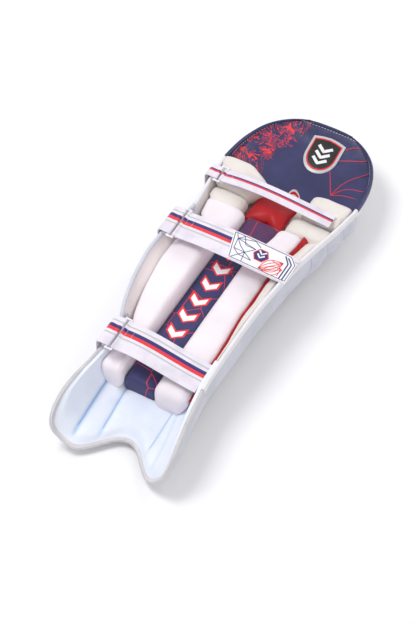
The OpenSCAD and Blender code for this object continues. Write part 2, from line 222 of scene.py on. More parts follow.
def arc_across(grid):
    """Distance of each point from the middle column, along its row."""
    run = np.cumsum(np.linalg.norm(np.diff(grid, axis=1), axis=-1), axis=1)
    run = np.concatenate([np.zeros((len(grid), 1)), run], axis=1)
    middle = np.argmin(np.abs(grid[:, :, 0]), axis=1)
    return run - run[np.arange(len(grid)), middle][:, None]


def ripple(points, size, seed):
    """Smooth unevenness from about -1 to 1, with bumps about size across."""
    rng = np.random.default_rng(seed)
    total = 0
    for _ in range(9):
        direction = rng.normal(size=3)
        direction *= 2 * np.pi / (size * rng.uniform(1.3, 3.2) * np.linalg.norm(direction))
        total = total + np.sin(points @ direction + rng.uniform(0, 2 * np.pi))
    return total / 5


# ---------------------------------------------------------------- materials
def srgb(r, g, b):
    """A linear colour from 8-bit values."""
    return tuple(c / 12.92 if c <= 0.04045 else ((c + 0.055) / 1.055) ** 2.4
                 for c in (r / 255, g / 255, b / 255)) + (1.0,)


class Finish:
    """A principled material under construction, with short names for the nodes that the finishes share."""

    def __init__(self, name, slot, roughness=0.5, metallic=0.0, sheen=0.0, coat=0.0, specular=0.5):
        self.material = bpy.data.materials.new(name)
        self.material.use_nodes = True
        self.tree = self.material.node_tree
        self.shader = self.tree.nodes["Principled BSDF"]
        fixed = {"Roughness": roughness, "Metallic": metallic, "Sheen Weight": sheen, "Coat Weight": coat,
                 "Specular IOR Level": specular}
        for socket, value in fixed.items():
            self.shader.inputs[socket].default_value = value

    def put(self, node, socket, value):
        if isinstance(value, bpy.types.NodeSocket):
            self.tree.links.new(value, node.inputs[socket])
        else:
            node.inputs[socket].default_value = value

    def node(self, kind, inputs, **settings):
        node = self.tree.nodes.new(kind)
        for key, value in settings.items():
            setattr(node, key, value)
        for socket, value in inputs.items():
            self.put(node, socket, value)
        return node

    def calc(self, operation, *values):
        return self.node("ShaderNodeMath", dict(enumerate(values)), operation=operation).outputs[0]

    def ramp(self, value, low, high):
        """0 below low, 1 above high, smooth between."""
        inputs = {"Value": value, "From Min": low, "From Max": high}
        return self.node("ShaderNodeMapRange", inputs, interpolation_type="SMOOTHSTEP").outputs[0]

    def mix(self, k, a, b):
        return self.node("ShaderNodeMix", {0: k, 6: a, 7: b}, data_type="RGBA").outputs[2]

    def place(self):
        return self.node("ShaderNodeTexCoord", {}).outputs["Object"]

    def flat(self):
        """x and y of the piece laid flat, in metres, and how deep it lies in a sewn channel, which sets how
        much painted shade it gets there.
        """
        vector = self.node("ShaderNodeAttribute", {}, attribute_name="flat").outputs["Vector"]
        return self.node("ShaderNodeSeparateXYZ", {0: vector}).outputs[:3]

    def noise(self, scale, detail=2.0, distortion=0.0, where=None):
        inputs = {"Vector": where or self.place(), "Scale": scale, "Detail": detail,
                  "Distortion": distortion}
        return self.node("ShaderNodeTexNoise", inputs).outputs[0]

    def cells(self, scale, feature="F1", where=None):
        inputs = {"Vector": where or self.place(), "Scale": scale}
        return self.node("ShaderNodeTexVoronoi", inputs, feature=feature).outputs["Distance"]

    def wave(self, position, pitch):
        """0 to 1 and back, once per pitch, along a position in metres."""
        turn = self.calc("MULTIPLY", position, 2 * math.pi / pitch)
        return self.calc("MULTIPLY_ADD", self.calc("SINE", turn), 0.5, 0.5)

    def colour(self, value):
        self.put(self.shader, "Base Color", value)

    def bumps(self, *layers):
        """Layers are (height socket, depth in metres)."""
        normal = None
        for height, depth in layers:
            inputs = {"Height": height, "Distance": depth, "Strength": 1.0}
            if normal:
                inputs["Normal"] = normal
            normal = self.node("ShaderNodeBump", inputs).outputs[0]
        self.put(self.shader, "Normal", normal)

    def uneven_roughness(self, low, high, scale):
        inputs = {"Value": self.noise(scale, 3), "From Min": 0.3, "From Max": 0.7, "To Min": low,
                  "To Max": high}
        self.put(self.shader, "Roughness", self.node("ShaderNodeMapRange", inputs).outputs[0])


def soiled(f, base, dirt, amount=0.5):
    """A colour with broad soft variation and faint handling marks."""
    broad = f.ramp(f.noise(14, 3), 0.42, 0.75)
    marks = f.ramp(f.noise(75, 6, 0.6), 0.6, 0.78)
    return f.mix(f.calc("MULTIPLY", f.calc("MULTIPLY_ADD", marks, 0.5, broad), amount), base, dirt)


def leather(name, slot, base, dirt, rough=0.45, grain=1100):
    f = Finish(name, slot, rough, coat=0.05, specular=0.4)
    f.colour(soiled(f, base, dirt))
    f.uneven_roughness(rough - 0.06, rough + 0.1, 60)
    creases = f.cells(grain, "DISTANCE_TO_EDGE")
    f.bumps((f.ramp(creases, 0.0, 0.16), 0.00012), (f.noise(2600, 3), 0.00005), (f.noise(55, 3), 0.0006))
    return f.material


def fine_mesh(name, slot, thread, hole_shade, pitch=0.0016):
    """Knitted spacer fabric with rows of small holes."""
    f = Finish(name, slot, 0.75, sheen=0.3, specular=0.3)
    a, b, _ = f.flat()
    row = f.calc("FLOOR", f.calc("DIVIDE", b, pitch * 0.87))
    shifted = f.calc("MULTIPLY_ADD", f.calc("MODULO", row, 2.0), pitch / 2, a)
    holes = f.calc("MULTIPLY", f.wave(shifted, pitch), f.wave(b, pitch * 0.87))
    open_part = f.ramp(holes, 0.45, 0.8)
    tint = f.mix(f.ramp(f.noise(20, 3), 0.35, 0.7), thread, tuple(c * 0.9 for c in thread[:3]) + (1.0,))
    # painted shade: the holes take a darker colour for the shade inside them
    f.colour(f.mix(open_part, tint, hole_shade))
    f.bumps((f.calc("SUBTRACT", 1.0, open_part), 0.0003), (f.noise(2200, 2), 0.00006))
    return f.material


def quilted_satin(name, slot, base, dirt, groove_shade, pitch=0.0007):
    """Plain-weave cloth with a sheen. Its last colour is painted shade, which it takes deep in its sewn
    channels.
    """
    f = Finish(name, slot, 0.55, sheen=0.25, specular=0.3)
    depth = f.flat()[2]
    # painted shade: the deeper a point lies in a sewn channel, the more the colour turns to the shade colour
    f.colour(f.mix(f.ramp(depth, 0.0, 0.001), soiled(f, base, dirt, 0.6), groove_shade))
    place = f.node("ShaderNodeSeparateXYZ", {0: f.place()})
    weft = f.wave(place.outputs[0], pitch)
    warp = f.wave(place.outputs[1], pitch)
    weave = f.calc("MAXIMUM", weft, warp)
    f.bumps((weave, 0.00008), (f.noise(1800, 2), 0.00005), (f.noise(40, 3), 0.0008))
    return f.material


def ribbed_tape(name, slot, base, shade, pitch=0.0013):
    """Satin binding with fine ribs across it."""
    f = Finish(name, slot, 0.3, metallic=0.4, sheen=0.2)
    along, _, _ = f.flat()
    ribs = f.wave(along, pitch)
    f.colour(f.mix(f.calc("MULTIPLY", f.ramp(ribs, 0.1, 0.75), 0.75), shade, base))
    f.uneven_roughness(0.28, 0.45, 90)
    f.bumps((ribs, 0.00035), (f.noise(2400, 2), 0.00005))
    return f.material


def striped_webbing(name, slot, width, bands, ground):
    """Woven strap: bands are (start, end, colour), as shares of the width from the upper edge."""
    f = Finish(name, slot, 0.68, sheen=0.35, specular=0.3)
    along, over, _ = f.flat()
    share = f.calc("SUBTRACT", 0.5, f.calc("DIVIDE", over, width * MM))
    colour = f.mix(f.ramp(f.noise(45, 4), 0.35, 0.75), ground, tuple(c * 0.86 for c in ground[:3]) + (1.0,))
    for start, end, band in bands:
        inside = f.calc("MULTIPLY", f.calc("GREATER_THAN", share, start), f.calc("LESS_THAN", share, end))
        colour = f.mix(inside, colour, band)
    ribs = f.wave(along, 0.0016)
    threads = f.wave(f.calc("MULTIPLY_ADD", along, 0.45, over), 0.0011)
    cloth = f.calc("MAXIMUM", ribs, threads)
    # painted shade: the colour darkens where the weave lies low, between its ribs and threads
    weave_shaded = f.mix(f.calc("MULTIPLY", f.ramp(cloth, 0.75, 0.1), 0.35), colour, srgb(120, 112, 125))
    f.colour(weave_shaded)
    f.bumps((cloth, 0.00022), (f.noise(2600, 2), 0.00006))
    return f.material


def hook_and_loop(name, slot, base, shade, scale):
    f = Finish(name, slot, 0.85, sheen=0.5, specular=0.2)
    tufts = f.cells(scale)
    f.colour(f.mix(f.ramp(tufts, 0.1, 0.7), base, shade))
    f.bumps((f.calc("SUBTRACT", 1.0, tufts), 0.0005), (f.noise(scale * 1.7, 3), 0.0002))
    return f.material


def foam_finish():
    f = Finish("eva_foam", "foam", 0.9)
    f.colour(f.mix(f.noise(220, 4), srgb(214, 210, 200), srgb(186, 182, 172)))
    f.bumps((f.cells(1500), 0.0003))
    return f.material


def cane_finish():
    f = Finish("split_cane", "cane", 0.55)
    along_rods = (1.0, 0.06, 1.0)
    stretched = f.node("ShaderNodeVectorMath", {0: f.place(), 1: along_rods}, operation="MULTIPLY")
    fibres = f.noise(900, 4, where=stretched.outputs[0])
    f.colour(f.mix(fibres, srgb(214, 182, 118), srgb(150, 112, 62)))
    f.bumps((fibres, 0.0003))
    return f.material


def ring_finish():
    """Steel wire with a coat of white enamel."""
    f = Finish("enamelled_ring", "ring_metal", 0.3, coat=0.3)
    f.colour(f.mix(f.ramp(f.noise(160, 5), 0.45, 0.7), srgb(236, 232, 240), srgb(206, 202, 210)))
    f.uneven_roughness(0.22, 0.42, 240)
    f.bumps((f.noise(900, 4), 0.00003))
    return f.material


def thread_finish(name, slot, base):
    f = Finish(name, slot, 0.6, sheen=0.3)
    f.colour(f.mix(f.noise(2500, 2), base, tuple(c * 0.7 for c in base[:3]) + (1.0,)))
    f.bumps((f.noise(5000, 2), 0.00005))
    return f.material


def printed_navy(name, slot, sketch=False):
    """Coated navy cloth, with faint creases; a red ink drawing covers its left part when sketch is set."""
    f = Finish(name, slot, 0.42, coat=0.08, sheen=0.1)
    colour = f.mix(f.ramp(f.noise(16, 3), 0.35, 0.7), NAVY, NAVY_LIGHT)
    if sketch:
        place = f.node("ShaderNodeSeparateXYZ", {0: f.place()})
        x, y = place.outputs[0], place.outputs[1]
        rough_edge = f.calc("MULTIPLY_ADD", f.noise(38, 3), 0.05, -0.025)
        reach = f.calc("MULTIPLY_ADD", f.ramp(y, 0.262, 0.315), 0.034, -0.066)
        inner = f.calc("SUBTRACT", f.calc("ADD", x, rough_edge), reach)
        left = f.ramp(inner, 0.004, -0.006)
        above = f.ramp(f.calc("ADD", y, rough_edge), 0.206, 0.212)
        swirl = f.noise(13, 4, 1.6)
        strokes = f.ramp(f.calc("SINE", f.calc("MULTIPLY", swirl, 210.0)), 0.35, 0.8)
        breaks = f.ramp(f.noise(90, 3, 1.2), 0.42, 0.5)
        blots = f.ramp(f.noise(34, 3, 1.4), 0.6, 0.63)
        ink = f.calc("MAXIMUM", f.calc("MULTIPLY", strokes, breaks), f.calc("MULTIPLY", blots, breaks))
        colour = f.mix(f.calc("MULTIPLY", ink, f.calc("MULTIPLY", left, above)), colour, INK_RED)
    f.colour(colour)
    f.uneven_roughness(0.36, 0.5, 70)
    f.bumps((f.cells(1500, "DISTANCE_TO_EDGE"), 0.00006), (f.noise(36, 4, 0.4), 0.0014))
    return f.material


def printed_strip(name, slot):
    """The navy centre strip: white chevrons outlined in red, and thin red lines between them."""
    f = Finish(name, slot, 0.65, sheen=0.15)
    x, y, _ = f.flat()
    centre = (STRIP_LEFT + STRIP_RIGHT) / 2 * MM
    off = f.calc("ABSOLUTE", f.calc("SUBTRACT", x, centre))
    climb = f.calc("MULTIPLY_ADD", off, -0.8, y)
    pitch = 0.034
    phase = f.calc("FRACT", f.calc("DIVIDE", f.calc("ADD", climb, 1.0), pitch))
    gap = f.calc("ABSOLUTE", f.calc("SUBTRACT", phase, 0.5))
    in_print = f.calc("MULTIPLY", f.calc("GREATER_THAN", y, -0.176), f.calc("LESS_THAN", y, 0.086))
    outline = f.calc("MULTIPLY", f.calc("LESS_THAN", gap, 0.25), f.calc("LESS_THAN", off, 0.0152))
    bar = f.calc("MULTIPLY", f.calc("LESS_THAN", gap, 0.155), f.calc("LESS_THAN", off, 0.0122))
    web = f.ramp(f.cells(26, "DISTANCE_TO_EDGE"), 0.016, 0.008)
    upper = f.ramp(y, 0.03, 0.12)
    ground = f.mix(upper, NAVY_STRIP, srgb(84, 38, 84))
    ground = f.mix(f.calc("MULTIPLY", web, 0.85), ground, INK_RED)
    ground = f.mix(f.calc("MULTIPLY", outline, in_print), ground, INK_RED)
    ground = f.mix(f.calc("MULTIPLY", bar, in_print), ground, srgb(245, 243, 245))
    f.colour(ground)
    f.uneven_roughness(0.58, 0.75, 80)
    weave = f.calc("MAXIMUM", f.wave(x, 0.0012), f.wave(y, 0.0012))
    f.bumps((weave, 0.00008), (f.noise(45, 3), 0.0008))
    return f.material


def plastic(name, slot, base, rough=0.3):
    f = Finish(name, slot, rough, coat=0.2)
    f.colour(f.mix(f.noise(130, 4), base, tuple(c * 0.85 for c in base[:3]) + (1.0,)))
    f.uneven_roughness(rough - 0.05, rough + 0.12, 150)
    f.bumps((f.noise(900, 3), 0.00004))
    return f.material


NAVY = srgb(33, 34, 82)
NAVY_LIGHT = srgb(46, 47, 98)
NAVY_STRIP = srgb(48, 48, 98)
INK_RED = srgb(232, 44, 50)
INK_NAVY = srgb(42, 44, 116)
LILAC = srgb(241, 234, 247)
GREY_BAND = srgb(200, 200, 202)
STRIPE_RED = srgb(236, 44, 52)
STRIPE_NAVY = srgb(35, 32, 112)
WIDE_BANDS = [(0.14, 0.19, GREY_BAND), (0.28, 0.39, STRIPE_NAVY), (0.39, 0.50, STRIPE_RED),
              (0.58, 0.63, GREY_BAND)]
NARROW_BANDS = [(0.33, 0.43, STRIPE_NAVY), (0.43, 0.55, STRIPE_RED)]
LEG_STRAP_W, KNEE_STRAP_W = 54, 26

WHITE_LEATHER = leather("white_leather", "white_face_leather", srgb(240, 238, 242), srgb(214, 212, 222))
CREAM_LEATHER = leather("cream_leather_cushion", "cream_leather", srgb(236, 229, 224), srgb(216, 206, 200),
                        0.5)
BOLSTER_CLOTH = leather("bolster_leather", "cream_leather", srgb(250, 241, 248), srgb(232, 224, 231), 0.56)
PANEL_LEATHER = leather("wing_panel_leather", "cream_leather", srgb(248, 238, 238), srgb(232, 219, 218), 0.5)
RED_LEATHER = leather("red_cushion_leather", "red_leather", srgb(190, 18, 30), srgb(150, 10, 24), 0.42)
# its second colour is painted shade inside the holes of the mesh
BLUE_MESH = fine_mesh("pale_blue_mesh_cloth", "pale_blue_mesh", srgb(216, 217, 228), srgb(162, 168, 188))
# its last colour is painted shade, for the sewn channels of the instep lining
INSTEP_CLOTH = quilted_satin("instep_satin", "instep_lining", srgb(233, 238, 250), srgb(211, 221, 241),
                             srgb(168, 197, 232))
SILVER_TAPE = ribbed_tape("silver_tape", "silver_binding", srgb(250, 247, 249), srgb(190, 186, 192))
NAVY_SKETCH = printed_navy("navy_printed_cloth", "navy_lining", sketch=True)
NAVY_CLOTH = printed_navy("navy_cloth", "navy_lining")
STRIP_CLOTH = printed_strip("centre_strip_cloth", "navy_lining")
WIDE_WEB = striped_webbing("wide_strap_webbing", "strap_webbing", LEG_STRAP_W, WIDE_BANDS, LILAC)
NARROW_WEB = striped_webbing("narrow_strap_webbing", "strap_webbing", KNEE_STRAP_W, NARROW_BANDS, LILAC)
HOOKS = hook_and_loop("hook_tape_cloth", "hook_tape", srgb(238, 238, 240), srgb(190, 190, 196), 900)
LOOPS = hook_and_loop("loop_tape_cloth", "loop_tape", srgb(240, 240, 243), srgb(205, 205, 212), 1400)
FOAM = foam_finish()
CANE = cane_finish()
RING_ENAMEL = ring_finish()
BLUE_THREAD = thread_finish("pale_blue_thread", "instep_lining", srgb(150, 182, 222))
WHITE_THREAD = thread_finish("white_thread", "strap_webbing", srgb(246, 246, 250))
INK = plastic("red_ink", "red_leather", INK_RED, 0.45)
NAVY_INK = plastic("navy_ink", "printed_patch", INK_NAVY, 0.4)
RED_INK = plastic("red_patch_ink", "printed_patch", INK_RED, 0.4)
END_PATCH = plastic("end_patch_sheet", "printed_patch", srgb(244, 243, 247), 0.38)
BADGE_RIM = plastic("badge_silver", "badge", srgb(196, 196, 202), 0.25)
BADGE_RED = plastic("badge_red", "badge", srgb(226, 40, 44))
BADGE_BLACK = plastic("badge_black", "badge", srgb(22, 22, 24))
BADGE_WHITE = plastic("badge_white", "badge", srgb(240, 240, 244))


# ---------------------------------------------------------------- mesh builders
def piece(name, points, faces, material, body, flat=None, replaces=(), fill=None, sharp=40):
    """A mesh from points in millimetres, riding on a body. flat is where each point lies when the piece is
    laid flat, with the depth of its sewn channels as a third value where it has one, which sets their painted
    shade."""
    mesh = bpy.data.meshes.new(name)
    mesh.from_pydata((np.asarray(points, float).reshape(-1, 3) * MM).tolist(), [], faces)
    shape = bmesh.new()
    shape.from_mesh(mesh)
    bmesh.ops.recalc_face_normals(shape, faces=shape.faces)
    shape.to_mesh(mesh)
    shape.free()
    mesh.polygons.foreach_set("use_smooth", [True] * len(mesh.polygons))
    mesh.set_sharp_from_angle(angle=math.radians(sharp))
    if flat is not None:
        attribute = mesh.attributes.new("flat", "FLOAT_VECTOR", "POINT")
        values = np.zeros((len(mesh.vertices), 3), np.float32)
        flat = np.asarray(flat, float)
        values[:, :flat.shape[-1]] = flat.reshape(len(values), -1) * MM
        attribute.data.foreach_set("vector", values.ravel())
    obj = bpy.data.objects.new(name, mesh)
    bpy.context.scene.collection.objects.link(obj)
    mesh.materials.append(material)
    if body:
        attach(obj, body)
    if replaces:
        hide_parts(*replaces)
    return obj


def slab(name, low, high, material, body, **options):
    """A closed solid between two grids with the same rows and columns."""
    rows, cols = low.shape[:2]
    index = np.arange(rows * cols).reshape(rows, cols)
    over = index + rows * cols

    def quads(a, b, c, d):
        return np.stack([a, b, c, d], axis=-1).reshape(-1, 4)

    faces = [quads(g[:-1, :-1], g[1:, :-1], g[1:, 1:], g[:-1, 1:]) for g in (index, over)]
    for edge, top in ((index[0], over[0]), (index[-1], over[-1]), (index[:, 0], over[:, 0]),
                      (index[:, -1], over[:, -1])):
        faces.append(quads(edge[:-1], edge[1:], top[1:], top[:-1]))
    middle = (low + high) / 2
    flat = np.stack([arc_across(middle), middle[..., 1]], axis=-1)
    options.setdefault("flat", np.concatenate([flat.reshape(-1, 2)] * 2))
    points = np.concatenate([low.reshape(-1, 3), high.reshape(-1, 3)])
    return piece(name, points, np.concatenate(faces).tolist(), material, body, **options)


def sheet_slab(name, ys, ts, outer, inner, material, body, **options):
    """A layer of the pad between two depths."""
    return slab(name, sheet_grid(ys, ts, outer), sheet_grid(ys, ts, inner), material, body, **options)


def tube_faces(rows, sides, start=0):
    """Faces of a closed tube through rings of points. start is the number of its first point."""
    faces = []
    for first in range(start, start + (rows - 1) * sides, sides):
        over = first + sides
        faces += [(first + k, over + k, over + (k + 1) % sides, first + (k + 1) % sides)
                  for k in range(sides)]
    last = start + (rows - 1) * sides
    return faces + [tuple(range(start, start + sides)), tuple(range(last, last + sides))]


def loft(name, rings, material, body, **options):
    """A closed solid through rings of points."""
    rows, sides = rings.shape[:2]
    return piece(name, rings, tube_faces(rows, sides), material, body, **options)


def frames_along(path):
    """Two unit vectors across a path at each of its points, without twist."""
    tangent = np.gradient(path, axis=0)
    tangent /= np.linalg.norm(tangent, axis=1, keepdims=True)
    side = np.cross(tangent[0], [0.3, 0.2, 1.0])
    sides = []
    for direction in tangent:
        side = side - direction * (side @ direction)
        side = side / np.linalg.norm(side)
        sides.append(side)
    sides = np.array(sides)
    return sides, np.cross(tangent, sides)


def tube_rings(path, radius, sides=10):
    a, b = frames_along(path)
    angle = 2 * np.pi * np.arange(sides) / sides
    radius = np.broadcast_to(radius, len(path))[:, None, None]
    around = a[:, None] * np.cos(angle)[:, None] + b[:, None] * np.sin(angle)[:, None]
    return path[:, None] + radius * around


def length_along(path):
    return np.r_[0, np.cumsum(np.linalg.norm(np.diff(path, axis=0), axis=1))]


def resampled(path, step):
    run = length_along(path)
    at = even(0, run[-1], step)
    return np.stack([np.interp(at, run, path[:, k]) for k in range(3)], axis=1)


def stitches(name, paths, lift_dirs, material, body, pitch, length, radius):
    """Rows of sewn stitches: short threads that dip into the fabric at both ends."""
    dip = np.array([-0.35, 0.2, 0.35, 0.2, -0.35])[:, None]
    taper = np.array([0.5, 1, 1, 1, 0.5])
    points, faces = [], []
    for path, lift_dir in zip(paths, lift_dirs):
        run = length_along(path)
        lift_dir = np.broadcast_to(lift_dir, path.shape)
        for start in np.arange(pitch / 2, run[-1] - length, pitch):
            at = start + length * np.linspace(0, 1, 5)
            line = np.stack([np.interp(at, run, path[:, k]) for k in range(3)], axis=1)
            out = np.stack([np.interp(at, run, lift_dir[:, k]) for k in range(3)], axis=1)
            faces += tube_faces(5, 5, 5 * 5 * len(points))
            points.append(tube_rings(line + out * dip, radius * taper, 5).reshape(-1, 3))
    return piece(name, np.concatenate(points), faces, material, body, sharp=60)


def surface_lines(name, lines, height, width, material, body, thick=0.3):
    """Thin printed lines that lie on a surface: lines are lists of (x, y)."""
    points, faces = [], []
    for line in lines:
        flat = np.array([(x, y, 0) for x, y in line], float)
        flat = resampled(flat, 3.0)
        along = np.gradient(flat, axis=0)
        side = np.stack([-along[:, 1], along[:, 0], 0 * along[:, 0]], axis=1)
        side *= width / 2 / np.linalg.norm(side, axis=1, keepdims=True)
        rings = np.stack([flat - side, flat + side, flat + side, flat - side], axis=1)
        rings[..., 2] = height(rings[..., 0], rings[..., 1]) + np.array([-0.3, -0.3, thick, thick])
        faces += tube_faces(len(rings), 4, sum(len(p) for p in points))
        points.append(rings.reshape(-1, 3))
    return piece(name, np.concatenate(points), faces, material, body)


def edge_tape(name, ys, ts, middle_of, material, body, reach=8, cover=0.7, tape=1.1, nose=2.4, **options):
    """A tape folded over a free edge of the pad, along the points (y, t) of that edge.
    middle_of is a point (y, t) inside the panel, so that the tape knows which way is inward."""
    outer = layer(ys, ts, 0)
    through = layer(ys, ts, 1) - outer
    thickness = np.linalg.norm(through, axis=1, keepdims=True)
    through /= thickness
    tangent = np.gradient(outer + through * thickness / 2, axis=0)
    tangent /= np.linalg.norm(tangent, axis=1, keepdims=True)
    inward = np.cross(tangent, through)
    step_in = 0.03
    nearer = shell(ys + (middle_of[0] - ys) * step_in, ts + (middle_of[1] - ts) * step_in, 0.5)
    toward = nearer - shell(ys, ts, 0.5)
    inward *= np.sign(np.sum(inward * toward, axis=1, keepdims=True))
    inward /= np.linalg.norm(inward, axis=1, keepdims=True)
    full = np.linalg.norm(shell(ys, ts, 1) - shell(ys, ts, 0), axis=1, keepdims=True)
    tip = near_tip(ys)[:, None]
    depths = np.linspace(reach, 0, 4)
    turn = np.linspace(0, np.pi, 11)[1:-1]
    rings = []
    for skin in (cover, cover - tape):
        grown = [full * (thinning(full, 0) - thinning(full, depth)) for depth in depths]
        near = [(-skin - growth * (1 + tip), depth) for growth, depth in zip(grown, depths)]
        far = [(thickness + skin + growth * (1 - tip), depth) for growth, depth in zip(grown, depths)][::-1]
        bend = [(thickness / 2 - (thickness / 2 + skin) * math.cos(a), -(nose + skin) * math.sin(a))
                for a in turn]
        side = [outer + through * place + inward * depth for place, depth in near + bend + far]
        rings += side if skin == cover else side[::-1]
    rings = np.stack(rings, axis=1)
    run = length_along(outer)[:, None]
    around = np.linspace(0, 30, rings.shape[1])[None, :]
    flat = np.stack(np.broadcast_arrays(run, around), axis=-1)
    return loft(name, rings, material, body, flat=flat, **options)


CUSHION_SIDES = 56          # points round a cushion
LEAST_HEIGHT = 9            # of a cushion over the lining
SEAM_PULL, SEAM_PITCH = 0.378, 17  # the tucks along its side seams


def cushion(name, node, longer, left, right, top, material, corner, seed, slope=26, belly=2.6, pleats=(),
            wrinkle=0.7, end_height=0.3, rows=90, lean=None, slant=0):
    """A stuffed roll on the lining, which stands for a CAD node. longer is how much it stands over that node
    at each end. left, right and top are its edges and height as functions of y. Its plan has rounded corners,
    its top comes down at both ends, and its side seams pull in a little. lean(y) is how far its left side
    leans out at the top, slant how much lower that side is."""
    low, high = cad_box(node)
    y0, y1 = low[1] - longer[0], high[1] + longer[1]
    k = np.linspace(-1, 1, rows)
    ys = (y0 + y1) / 2 + (y1 - y0) / 2 * np.sign(k) * (1 - (1 - np.abs(k)) ** 1.6)
    end = np.minimum(ys - y0, y1 - ys)
    plan = (1 - (1 - np.clip(end / corner, 0.004, 1)) ** 2.6) ** (1 / 2.6)
    height = end_height + (1 - end_height) * (1 - (1 - np.clip(end / slope, 0, 1)) ** 2.8) ** (1 / 2.8)
    angle = 2 * np.pi * np.arange(CUSHION_SIDES) / CUSHION_SIDES
    shape_x = power(np.cos(angle), 2 / 3.4)
    shape_z = power(np.sin(angle), 2 / belly)
    low_x, high_x = left(ys), right(ys)
    centre, half = (low_x + high_x) / 2, (high_x - low_x) / 2
    x = centre[:, None] + (half * (1 - corner / half * (1 - plan)).clip(0.02, 1))[:, None] * shape_x
    y = np.repeat(ys[:, None], CUSHION_SIDES, axis=1)
    ground = floor_z(x, y) + LIFT
    tall = np.maximum(top(ys)[:, None] - slant * (0.5 - 0.5 * shape_x) - ground, LEAST_HEIGHT)
    z = ground + tall * height[:, None] * (0.5 + 0.5 * shape_z)
    if lean:
        x = x - lean(ys)[:, None] * np.clip(-shape_x, 0, 1) * (0.5 + 0.5 * shape_z) ** 2 * height[:, None]
    points = np.stack([x, y, z], axis=-1)
    upper = np.clip(shape_z, 0, 1)[None, :]
    seam = np.exp(-(shape_z / 0.35) ** 2)[None, :]
    points[..., 2] += wrinkle * upper * (ripple(points, 26, seed) + 0.5 * ripple(points, 11, seed + 5))
    tug = SEAM_PULL * np.abs(np.sin(ys * 2 * np.pi / SEAM_PITCH))[:, None]
    points[..., 0] -= np.sign(shape_x)[None, :] * seam * tug
    for at_x, depth, from_y, to_y in pleats:
        fade = ease((ys - from_y) / 8) * ease((to_y - ys) / 22)
        points[..., 2] -= depth * np.exp(-((x - at_x) / 1.6) ** 2) * upper * fade[:, None]
    flat = np.stack([x, y], axis=-1)
    return loft(name, points, material, "pad", flat=flat, sharp=70, fill=0.7, replaces=[node])


def inflate(obj, voxel, pressure, cap):
    """Swells a stuffed piece as cloth under pressure, then keeps the settled mesh."""
    view = bpy.context.view_layer
    for other in bpy.context.selected_objects:
        other.select_set(False)
    view.objects.active = obj
    obj.select_set(True)
    remesh = obj.modifiers.new("even", "REMESH")
    remesh.mode = "VOXEL"
    remesh.voxel_size = voxel
    bpy.ops.object.modifier_apply(modifier="even")
    rest = np.empty(len(obj.data.vertices) * 3, np.float32)
    obj.data.vertices.foreach_get("co", rest)
    cloth = obj.modifiers.new("cloth", "CLOTH")
    cloth.settings.use_pressure = True
    cloth.settings.uniform_pressure_force = pressure
    cloth.settings.effector_weights.gravity = 0
    cloth.settings.tension_stiffness = 25
    cloth.settings.compression_stiffness = 25
    cloth.settings.bending_stiffness = 2
    cloth.point_cache.frame_start = 1
    cloth.point_cache.frame_end = 20
    for step in range(1, 21):
        bpy.context.scene.frame_set(step)
    swollen = obj.evaluated_get(bpy.context.evaluated_depsgraph_get())
    moved = np.empty_like(rest)
    swollen.data.vertices.foreach_get("co", moved)
    obj.modifiers.remove(cloth)
    bpy.context.scene.frame_set(1)
    shift = (moved - rest).reshape(-1, 3)
    size = np.linalg.norm(shift, axis=1, keepdims=True)
    shift *= np.minimum(1, cap / np.maximum(size, 1e-9))
    obj.data.vertices.foreach_set("co", (rest.reshape(-1, 3) + shift).astype(np.float32).ravel())
    finer = obj.modifiers.new("finer", "SUBSURF")
    finer.levels = 1
    bpy.ops.object.modifier_apply(modifier="finer")
    obj.data.polygons.foreach_set("use_smooth", [True] * len(obj.data.polygons))
    return obj


# ---------------------------------------------------------------- instep
ALL_TS = even_ts(0, 1, 141)
FRONT_TS = even_ts(SIDE_T, 1 - SIDE_T, 91)
LEFT_WALL_TS = even_ts(0, SIDE_T + 0.002, 22)
RIGHT_WALL_TS = even_ts(1 - SIDE_T - 0.002, 1, 22)
# of each seam: its distance from the middle at QUILT_Y, its slant and its depth
QUILT_SEAMS = [(-72, 0.11, 5.4), (-40, 0.05, 4.2), (50, -0.06, 2.2), (61, -0.27, 2.4)]
QUILT_Y = -249
QUILT_PUFF, DEEPEST_SEAM = 5.0, 5.4
SEAM_REACH, GROOVE_SHADE_REACH = 7.5, 3.2     # how far from its seam the lining dips, and how far its painted shade reaches


def quilting(grid):
    """Height of the instep lining, which puffs between its sewn seams, and the depth of its grooves, which
    sets their painted shade.
    """
    away = arc_across(grid)
    y = grid[..., 1]
    puff = QUILT_PUFF + 0 * y
    groove_shade = 0 * y
    for place, slant, depth in QUILT_SEAMS:
        gap = np.abs(away - place - slant * (y - QUILT_Y))
        puff = np.minimum(puff, QUILT_PUFF - depth * np.exp(-(gap / SEAM_REACH) ** 1.2))
        groove_shade = np.maximum(groove_shade, depth / DEEPEST_SEAM * np.exp(-(gap / GROOVE_SHADE_REACH) ** 1.3))
    near_toe = ease((y - toe_y(ALL_TS)[None, :] - 5) / 18)
    return puff * near_toe + 0.5 * ripple(grid, 40, 3) * near_toe, groove_shade * near_toe


